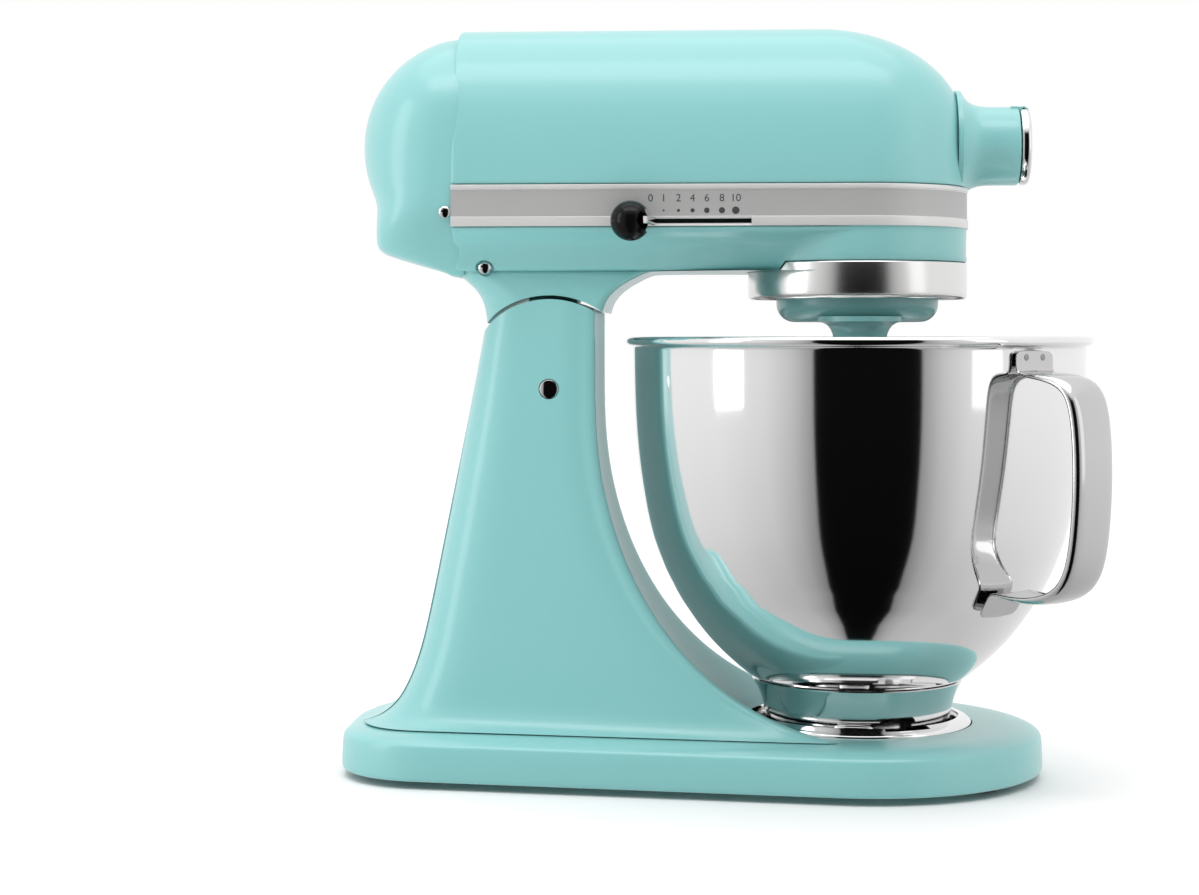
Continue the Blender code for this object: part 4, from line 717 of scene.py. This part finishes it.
pedestalShape = [  # height, rear, front, half width at the rear and front, rear and front corner radius, lip
    (24.3, -236.5, -8.0, 50.0, 70.0, 32, 5, 0.0), (24.7, -234.0, -12.0, 47.6, 68.4, 31, 5, 0.0), (25.6, -230.2, -18.0, 45.0, 66.4, 30, 5, 0.1),
    (27.4, -225.8, -25.0, 42.6, 64.0, 29, 5, 0.2), (30.2, -221.7, -34.0, 40.8, 61.0, 28, 5, 0.3), (34.5, -217.7, -45.0, 39.2, 58.0, 27, 5, 0.5),
    (40.0, -214.3, -55.4, 38.0, 55.0, 26, 5, 0.6), (48.0, -210.7, -67.3, 37.0, 51.8, 25, 5, 0.8), (58.0, -207.3, -78.6, 36.2, 48.8, 25, 5, 0.9),
    (70.0, -204.3, -89.2, 35.4, 46.0, 24, 5, 1.0), (84.0, -201.4, -98.8, 34.8, 43.6, 24, 5, 1.0), (101.0, -197.9, -107.6, 34.4, 41.4, 23, 5, 1.0),
    (119.0, -194.4, -114.2, 34.0, 39.8, 23, 5, 0.9), (138.0, -190.5, -119.0, 33.8, 38.8, 22, 5, 0.8), (158.0, -186.5, -121.7, 33.7, 38.3, 21, 5, 0.6),
    (178.0, -182.5, -122.4, 33.7, 38.1, 20, 5, 0.5), (196.0, -179.0, -122.4, 33.7, 38.1, 18, 5, 0.4),
]


def pedestalLoop(z, rear, front, rearHalf, frontHalf, rearRound, frontRound, lip):
    points = [(rear, 0.0), (rear, -rearHalf * 0.5)]
    points += arcPoints(rear + rearRound, -rearHalf + rearRound, rearRound, -180, -90, 4)
    for i in range(1, 9):
        f = i / 9
        points.append((rear + rearRound + (front - 12.0 - rear - rearRound) * f, -(rearHalf + (frontHalf - rearHalf) * f)))
    # a soft hollow runs up beside the rounded lip of the front edge
    points += [(front - 11.0, -frontHalf + lip * 0.5), (front - 7.6, -frontHalf + lip * 0.7), (front - 5.2, -frontHalf),
               (front - 3.2, -frontHalf - lip * 0.3), (front - 1.3, -frontHalf + 0.3), (front - 0.2, -frontHalf + 1.9),
               (front - 0.2, -frontHalf + 4.0)]
    for i in range(1, 7):
        f = i / 6
        y = (-frontHalf + 4.0) * (1 - f)
        dip = math.hypot(front, frontHalf - 4) - math.hypot(front, y)
        points.append((front - 0.2 - dip, y))
    loop = points + [(x, -y) for x, y in points[-2:0:-1]]
    return [(x, y, z) for x, y in loop]


def makePedestal():
    loops = [pedestalLoop(*row) for row in pedestalShape]
    loops += [pedestalLoop(z, rear, -122.4, 33.7, 38.1, 17, 5, 0.3) for z, rear in ((212.0, -176.1), (228.0, -173.2), (232.0, -172.5))]
    piece = place(grown(loops, capStart=True, capEnd=True), "pedestalCasting", "stand", "enamel", ("pedestal",), levels=2)
    saddle = arcPoints(hinge["x"], hinge["z"], hinge["saddle"], 15, 165, 60)
    saddle = [(-70.0, 200.0)] + saddle + [(-230.0, 200.0), (-230.0, 260.0), (-70.0, 260.0)]
    carve(piece, tool(slab(saddle, -60.0, 60.0)))
    outline = arcPoints(hinge["x"], hinge["z"], hinge["lug"] + 2.2, -110, 10, 14)
    outline += [(hinge["x"] + 50 * math.cos(math.radians(68)), hinge["z"] + 50 * math.sin(math.radians(68)))]
    outline += arcPoints(hinge["x"], hinge["z"], 62, 90, 165, 3) + arcPoints(hinge["x"], hinge["z"], hinge["lug"] + 2.2, 210, 240, 4)
    carve(piece, tool(slab(outline, -12.8, 12.8)))
    carve(piece, tool(rodTool(4.75, -60.0, 60.0, (hinge["x"], 0, hinge["z"]), "Y", 64)))
    pin = [(0, -36.7), (3.7, -36.7), (4.3, -36.4), (4.5, -35.9), (4.5, 35.9), (4.3, 36.4), (3.7, 36.7), (0, 36.7)]
    place(spun(pin, (hinge["x"], 0, hinge["z"]), "Y", 64), "hingePin", "stand", "chrome", ("hinge_pin",))


def makeClamp():
    profile = [(0, 20.6), (50.6, 20.6), (51.3, 20.9), (51.4, 21.8), (51.4, 24.2), (50.6, 25.4), (49.2, 26.2), (47.9, 26.5), (47.5, 26.9),
               (47.5, 27.4), (47.8, 27.9), (48.4, 28.0), (49.4, 27.8), (51.4, 26.9), (53.2, 25.6), (53.7, 24.9), (53.8, 24.2), (53.8, 18.9), (53.4, 18.6), (0, 18.6)]
    piece = place(spun(profile, steps=144), "clampPlate", "stand", "chrome", ("bowl_clamp_plate",))
    for k in range(3):
        middle = -65 + 120 * k
        bm = bmesh.new()
        outline = arcPoints(0, 0, 46.0, middle - 13, middle + 13, 8) + arcPoints(0, 0, 51.3, middle + 13, middle - 13, 8)
        face = bm.faces.new([bm.verts.new((x, y, 22.0)) for x, y in outline])
        lifted = bmesh.ops.extrude_face_region(bm, geom=[face])["geom"]
        bmesh.ops.translate(bm, vec=(0, 0, 20.0), verts=[v for v in lifted if isinstance(v, bmesh.types.BMVert)])
        carve(piece, tool(bm))


def makeFeet():
    for i in range(1, 6):
        low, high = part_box(f"foot_{i}")
        cx = ((low.x + high.x) / 2 - bowlAxis.x) * 1000
        cy = ((low.y + high.y) / 2 - bowlAxis.y) * 1000
        profile = [(0, 0.6), (6.6, 0.6), (7.0, 0.1), (7.6, 0.0), (9.2, 0.0), (9.8, 0.5), (10.0, 1.3), (10.0, 3.6), (9.6, 4.1), (3.0, 4.2), (3.0, 9.2), (0, 9.4)]
        place(spun(profile, (cx, cy, 0), steps=48), f"footPad{i}", "stand", "rubber", (f"foot_{i}",))


makeBase()
makePedestal()
makeClamp()
makeFeet()
print("stand made")


# ---- bowl ----

bowlWall = [  # radius and height of the outside, from the middle of the floor to the rim
    (0, 40.6), (20.0, 40.6), (34.0, 40.8), (40.0, 41.4), (45.0, 43.0), (50.0, 45.6), (53.6, 48.1), (57.2, 51.1), (60.6, 54.1), (64.4, 57.6), (68.0, 61.3),
    (71.2, 64.8), (74.2, 68.5), (77.0, 72.1), (79.5, 75.7), (82.0, 79.3), (84.3, 82.9), (86.3, 86.4), (88.1, 90.0), (90.0, 93.6),
    (91.7, 97.2), (94.6, 104.4), (97.2, 111.6), (99.1, 118.8), (100.7, 126.0), (102.0, 133.2), (103.2, 140.3), (104.2, 147.5), (105.0, 154.7),
    (105.7, 163.0), (106.2, 171.0), (106.5, 179.0), (106.7, 187.0), (106.8, 195.0), (106.9, 200.8),
]


def makeBowl():
    bead = arcPoints(108.0, 204.5, 2.2, -100, 170, 16)
    inner = [(max(0.0, r - 1.0), z + (1.0 if z < 60 else 0.4)) for r, z in reversed(bowlWall)]
    inner[0] = (bowlWall[-1][0] - 1.0, 203.6)
    bm = spun(bowlWall + [(107.0, 201.8)] + bead + inner, steps=144)
    place(bm, "mixingBowl", "mixing_bowl", "steel", ("bowl",), sharp=50)
    foot = [(42.4, 21.4), (42.9, 21.2), (43.5, 21.5), (43.6, 24.0), (43.9, 28.0), (44.4, 31.0), (45.3, 34.4), (46.6, 38.0), (48.2, 41.4), (49.9, 44.4),
            (49.4, 44.8), (48.6, 44.4), (46.9, 41.6), (45.4, 38.2), (44.2, 34.6), (43.3, 31.2), (42.8, 28.0), (42.4, 24.0), (42.4, 21.4)]
    place(spun(foot, steps=128), "bowlFoot", "mixing_bowl", "steel", ("bowl_foot",), sharp=50)
    for k in range(3):
        # pressed bayonet lugs
        middle = math.radians(-95 + 120 * k)
        bm = bmesh.new()
        bmesh.ops.create_uvsphere(bm, u_segments=32, v_segments=20, radius=1.0)
        bmesh.ops.scale(bm, vec=(2.2, 9.0, 2.0), verts=bm.verts)
        bmesh.ops.transform(bm, matrix=Matrix.Rotation(middle, 4, "Z") @ Matrix.Translation((43.6, 0, 27.2)), verts=bm.verts)
        place(bm, f"bowlLug{k + 1}", "mixing_bowl", "steel")


handle = {
    "angle": -47.0,
    # the strap's middle line by radius and height: top plate, grip, lower plate
    "path": [(108.0, 201.0), (108.0, 197.0), (108.0, 193.8), (108.4, 191.7), (109.8, 190.6), (112.4, 190.2), (118.0, 189.9),
             (125.0, 189.2), (131.0, 187.6), (135.6, 184.4), (138.6, 179.4), (140.4, 172.6), (141.6, 162.0), (142.0, 150.0),
             (141.8, 138.0), (140.9, 126.0), (139.6, 115.5), (137.6, 106.6), (134.0, 99.4), (128.4, 94.4), (121.0, 91.6),
             (113.0, 90.7), (105.0, 91.0), (99.4, 92.0), (95.2, 92.8), (92.6, 92.2), (90.9, 89.8), (88.9, 86.2), (85.7, 80.8)],
    # across, height of the pressed channel, height of the flat end plates
    "section": [(-12.5, -2.6, 0.2), (-12.4, -1.2, 0.6), (-11.6, 0.2, 0.6), (-9.8, 1.1, 0.6), (-6.0, 1.6, 0.6), (0.0, 1.8, 0.6),
                (6.0, 1.6, 0.6), (9.8, 1.1, 0.6), (11.6, 0.2, 0.6), (12.4, -1.2, 0.6), (12.5, -2.6, 0.2), (11.4, -2.8, -0.6),
                (11.2, -1.4, -0.6), (10.4, -0.5, -0.6), (8.6, 0.1, -0.6), (4.0, 0.5, -0.6), (-4.0, 0.5, -0.6),
                (-8.6, 0.1, -0.6), (-10.4, -0.5, -0.6), (-11.2, -1.4, -0.6), (-11.4, -2.8, -0.6)],
    "welds": ((108.6, 197.6, 0.0), (88.2, 84.4, 30.0)),  # radius, height and lean of the plates' weld dots
}


def makeHandle():
    path = [Vector(p) for p in handle["path"]]
    last = len(path) - 1
    loops = []
    for i, p in enumerate(path):
        along = (path[min(i + 1, last)] - path[max(i - 1, 0)]).normalized()
        out = Vector((-along.y, along.x))
        deep = min(1.0, max(0.0, (i - 3) / 5), max(0.0, (last - 3 - i) / 5))
        loops.append([((p + out * (pressed * deep + flat * (1 - deep))).x, across, (p + out * (pressed * deep + flat * (1 - deep))).y)
                      for across, pressed, flat in handle["section"]])
    bm = grown(loops, capStart=True, capEnd=True)
    aside = Matrix.Rotation(math.radians(handle["angle"]), 3, "Z")
    bmesh.ops.rotate(bm, cent=(0, 0, 0), matrix=aside, verts=bm.verts)
    place(bm, "handleStrap", "mixing_bowl", "strap", ("bowl_handle",), levels=1, sharp=60)
    for k, (radius, z, lean) in enumerate(handle["welds"]):
        for side in (-1, 1):
            bm = spun([(1.5, -0.5), (1.5, 0.1), (1.1, 0.25), (0, 0.1)], (0, 0, 0), "X", 24)
            bmesh.ops.rotate(bm, cent=(0, 0, 0), matrix=Matrix.Rotation(math.radians(lean), 3, "Y"), verts=bm.verts)
            bmesh.ops.translate(bm, vec=(radius, side * 5.5, z), verts=bm.verts)
            bmesh.ops.rotate(bm, cent=(0, 0, 0), matrix=aside, verts=bm.verts)
            place(bm, f"weldDot{k}{'a' if side < 0 else 'b'}", "mixing_bowl", "gear")


makeBowl()
makeHandle()
print("bowl made")


# ---- kept castings and drive pieces ----

kept = {
    "gear": ("center_gear", "ring_gear", "beater_pinion", "hub_gear_shaft", "worm", "pedestal_screw_1", "pedestal_screw_2",
             "pedestal_screw_3", "pedestal_screw_4", "height_adjust_screw"),
    "bright": ("center_shaft", "planetary_pin", "hub_hinge_pin", "clamp_screw_1", "clamp_screw_2", "clamp_screw_3"),
    "bronze": ("worm_gear",), "brass": ("brush_holder_1", "brush_holder_2"), "copper": ("commutator",),
    "alloy": ("rear_bearing_bracket", "front_bearing_bracket"), "iron": ("motor_field", "armature"),
    "resin": ("cooling_fan", "speed_control_plate"), "rubber": ("cord_gland",),
}
for look, names in kept.items():
    for name in names:
        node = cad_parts[name]
        node.data.materials.clear()
        node.data.materials.append(looks[look])


# ---- studio ----

studio = {
    "camera": (-52.0, -1098.0, 207.4), "yaw": 3.7, "lens": 68.8, "shift": -0.0938,  # mm from the bowl's axis
    "air": 1.0, "sky": 0.9, "floor": (0.92, 0.92, 0.92), "gapAt": 2.7, "gapHalf": 26.7, "below": 0.6,
}


def lamp(name, power, size, spot, aim, tint=(1, 1, 1)):
    light = bpy.data.lights.new(name, "AREA")
    light.shape = "RECTANGLE"
    light.size, light.size_y = size
    light.energy = power
    light.color = tint
    holder = bpy.data.objects.new(name, light)
    holder.location = spot
    holder.rotation_euler = (Vector(aim) - Vector(spot)).to_track_quat("-Z", "Y").to_euler()
    bpy.context.scene.collection.objects.link(holder)


def ramp(nodes, stops):
    node = nodes.new("ShaderNodeValToRGB")
    node.color_ramp.interpolation = "EASE"
    for i, (at, tone) in enumerate(stops):
        stop = node.color_ramp.elements[i] if i < 2 else node.color_ramp.elements.new(at)
        stop.position = at
        stop.color = (tone, tone, tone, 1.0)
    return node


def makeAir(scene):
    # white air; what the object mirrors is two broad soft walls with a dark gap in front of its right side
    world = bpy.data.worlds.new("studioAir")
    world.use_nodes = True
    nodes, links = world.node_tree.nodes, world.node_tree.links
    air = nodes["Background"]
    way = nodes.new("ShaderNodeTexCoord")
    split = nodes.new("ShaderNodeSeparateXYZ")
    links.new(way.outputs["Generated"], split.inputs[0])
    back = nodes.new("ShaderNodeMath")
    back.operation = "MULTIPLY"
    back.inputs[1].default_value = -1.0
    links.new(split.outputs["Y"], back.inputs[0])
    turn = nodes.new("ShaderNodeMath")
    turn.operation = "ARCTAN2"
    links.new(split.outputs["X"], turn.inputs[0])
    links.new(back.outputs[0], turn.inputs[1])
    offset = nodes.new("ShaderNodeMath")
    offset.operation = "SUBTRACT"
    offset.inputs[1].default_value = math.radians(studio["gapAt"])
    links.new(turn.outputs[0], offset.inputs[0])
    away = nodes.new("ShaderNodeMath")
    away.operation = "ABSOLUTE"
    links.new(offset.outputs[0], away.inputs[0])
    share = nodes.new("ShaderNodeMath")
    share.operation = "DIVIDE"
    share.inputs[1].default_value = math.pi
    links.new(away.outputs[0], share.inputs[0])
    gap = studio["gapHalf"] / 180
    walls = ramp(nodes, [(0.0, 0.004), (1.0, 1.0), (gap - 0.002, 0.004), (gap + 0.002, 0.36), (gap + 0.06, 0.62),
                         (gap + 0.14, 0.82), (gap + 0.3, 0.95)])
    walls.color_ramp.interpolation = "LINEAR"
    links.new(share.outputs[0], walls.inputs["Fac"])
    roof = nodes.new("ShaderNodeMapRange")
    roof.interpolation_type = "SMOOTHSTEP"
    roof.inputs["From Min"].default_value = 0.52
    roof.inputs["From Max"].default_value = 0.74
    links.new(split.outputs["Z"], roof.inputs["Value"])
    over = nodes.new("ShaderNodeMix")
    over.data_type = "RGBA"
    over.inputs["B"].default_value = (1.05, 1.05, 1.05, 1.0)
    links.new(roof.outputs["Result"], over.inputs["Factor"])
    links.new(walls.outputs["Color"], over.inputs["A"])
    low = nodes.new("ShaderNodeMapRange")
    low.inputs["From Min"].default_value = -0.8
    low.inputs["From Max"].default_value = 0.0
    low.inputs["To Min"].default_value = studio["below"]
    low.inputs["To Max"].default_value = 1.0
    links.new(split.outputs["Z"], low.inputs["Value"])
    dim = nodes.new("ShaderNodeVectorMath")
    dim.operation = "SCALE"
    links.new(over.outputs["Result"], dim.inputs[0])
    links.new(low.outputs["Result"], dim.inputs["Scale"])
    path = nodes.new("ShaderNodeLightPath")
    shown = nodes.new("ShaderNodeMix")
    shown.data_type = "RGBA"
    shown.inputs["B"].default_value = (1.0, 1.0, 1.0, 1.0)
    links.new(path.outputs["Is Camera Ray"], shown.inputs["Factor"])
    links.new(dim.outputs[0], shown.inputs["A"])
    links.new(shown.outputs["Result"], air.inputs["Color"])
    air.inputs["Strength"].default_value = studio["air"]
    scene.world = world


def makeStudio():
    scene = bpy.context.scene
    bm = bmesh.new()
    bmesh.ops.create_grid(bm, x_segments=1, y_segments=1, size=6.0)
    mesh = bpy.data.meshes.new("studioFloor")
    bm.to_mesh(mesh)
    bm.free()
    mesh.materials.append(finish("paperFloor", studio["floor"], 0.6, grain=60.0, depth=0.02, cloud=0.02, shift=0.01))
    floor = bpy.data.objects.new("studioFloor", mesh)
    scene.collection.objects.link(floor)
    floor.visible_glossy = False

    makeAir(scene)

    lamp("overhead", 3.4, (1.3, 0.4), (0.0, -0.45, 1.25), (0.0, 0.0, 0.3))
    lamp("leftBox", 4.4, (0.5, 1.2), (-1.4, -0.6, 0.6), (0.0, 0.0, 0.2))
    sky = bpy.data.lights.new("skySheet", "SUN")
    sky.energy = studio["sky"]
    sky.angle = math.radians(70)
    holder = bpy.data.objects.new("skySheet", sky)
    scene.collection.objects.link(holder)
    lamp("rightBox", 0.8, (0.5, 1.2), (1.4, -0.7, 0.6), (0.0, 0.0, 0.2))

    camera = bpy.data.cameras.new("benchCamera")
    camera.lens = studio["lens"]
    camera.sensor_width = 36.0
    camera.clip_start = 0.05
    camera.shift_y = studio["shift"]
    holder = bpy.data.objects.new("benchCamera", camera)
    holder.location = toPlace @ Vector(studio["camera"])
    holder.rotation_euler = (math.radians(90), 0, math.radians(studio["yaw"]))
    scene.collection.objects.link(holder)
    scene.camera = holder
    scene.view_settings.view_transform = "Standard"


makeStudio()
print("scene ready")
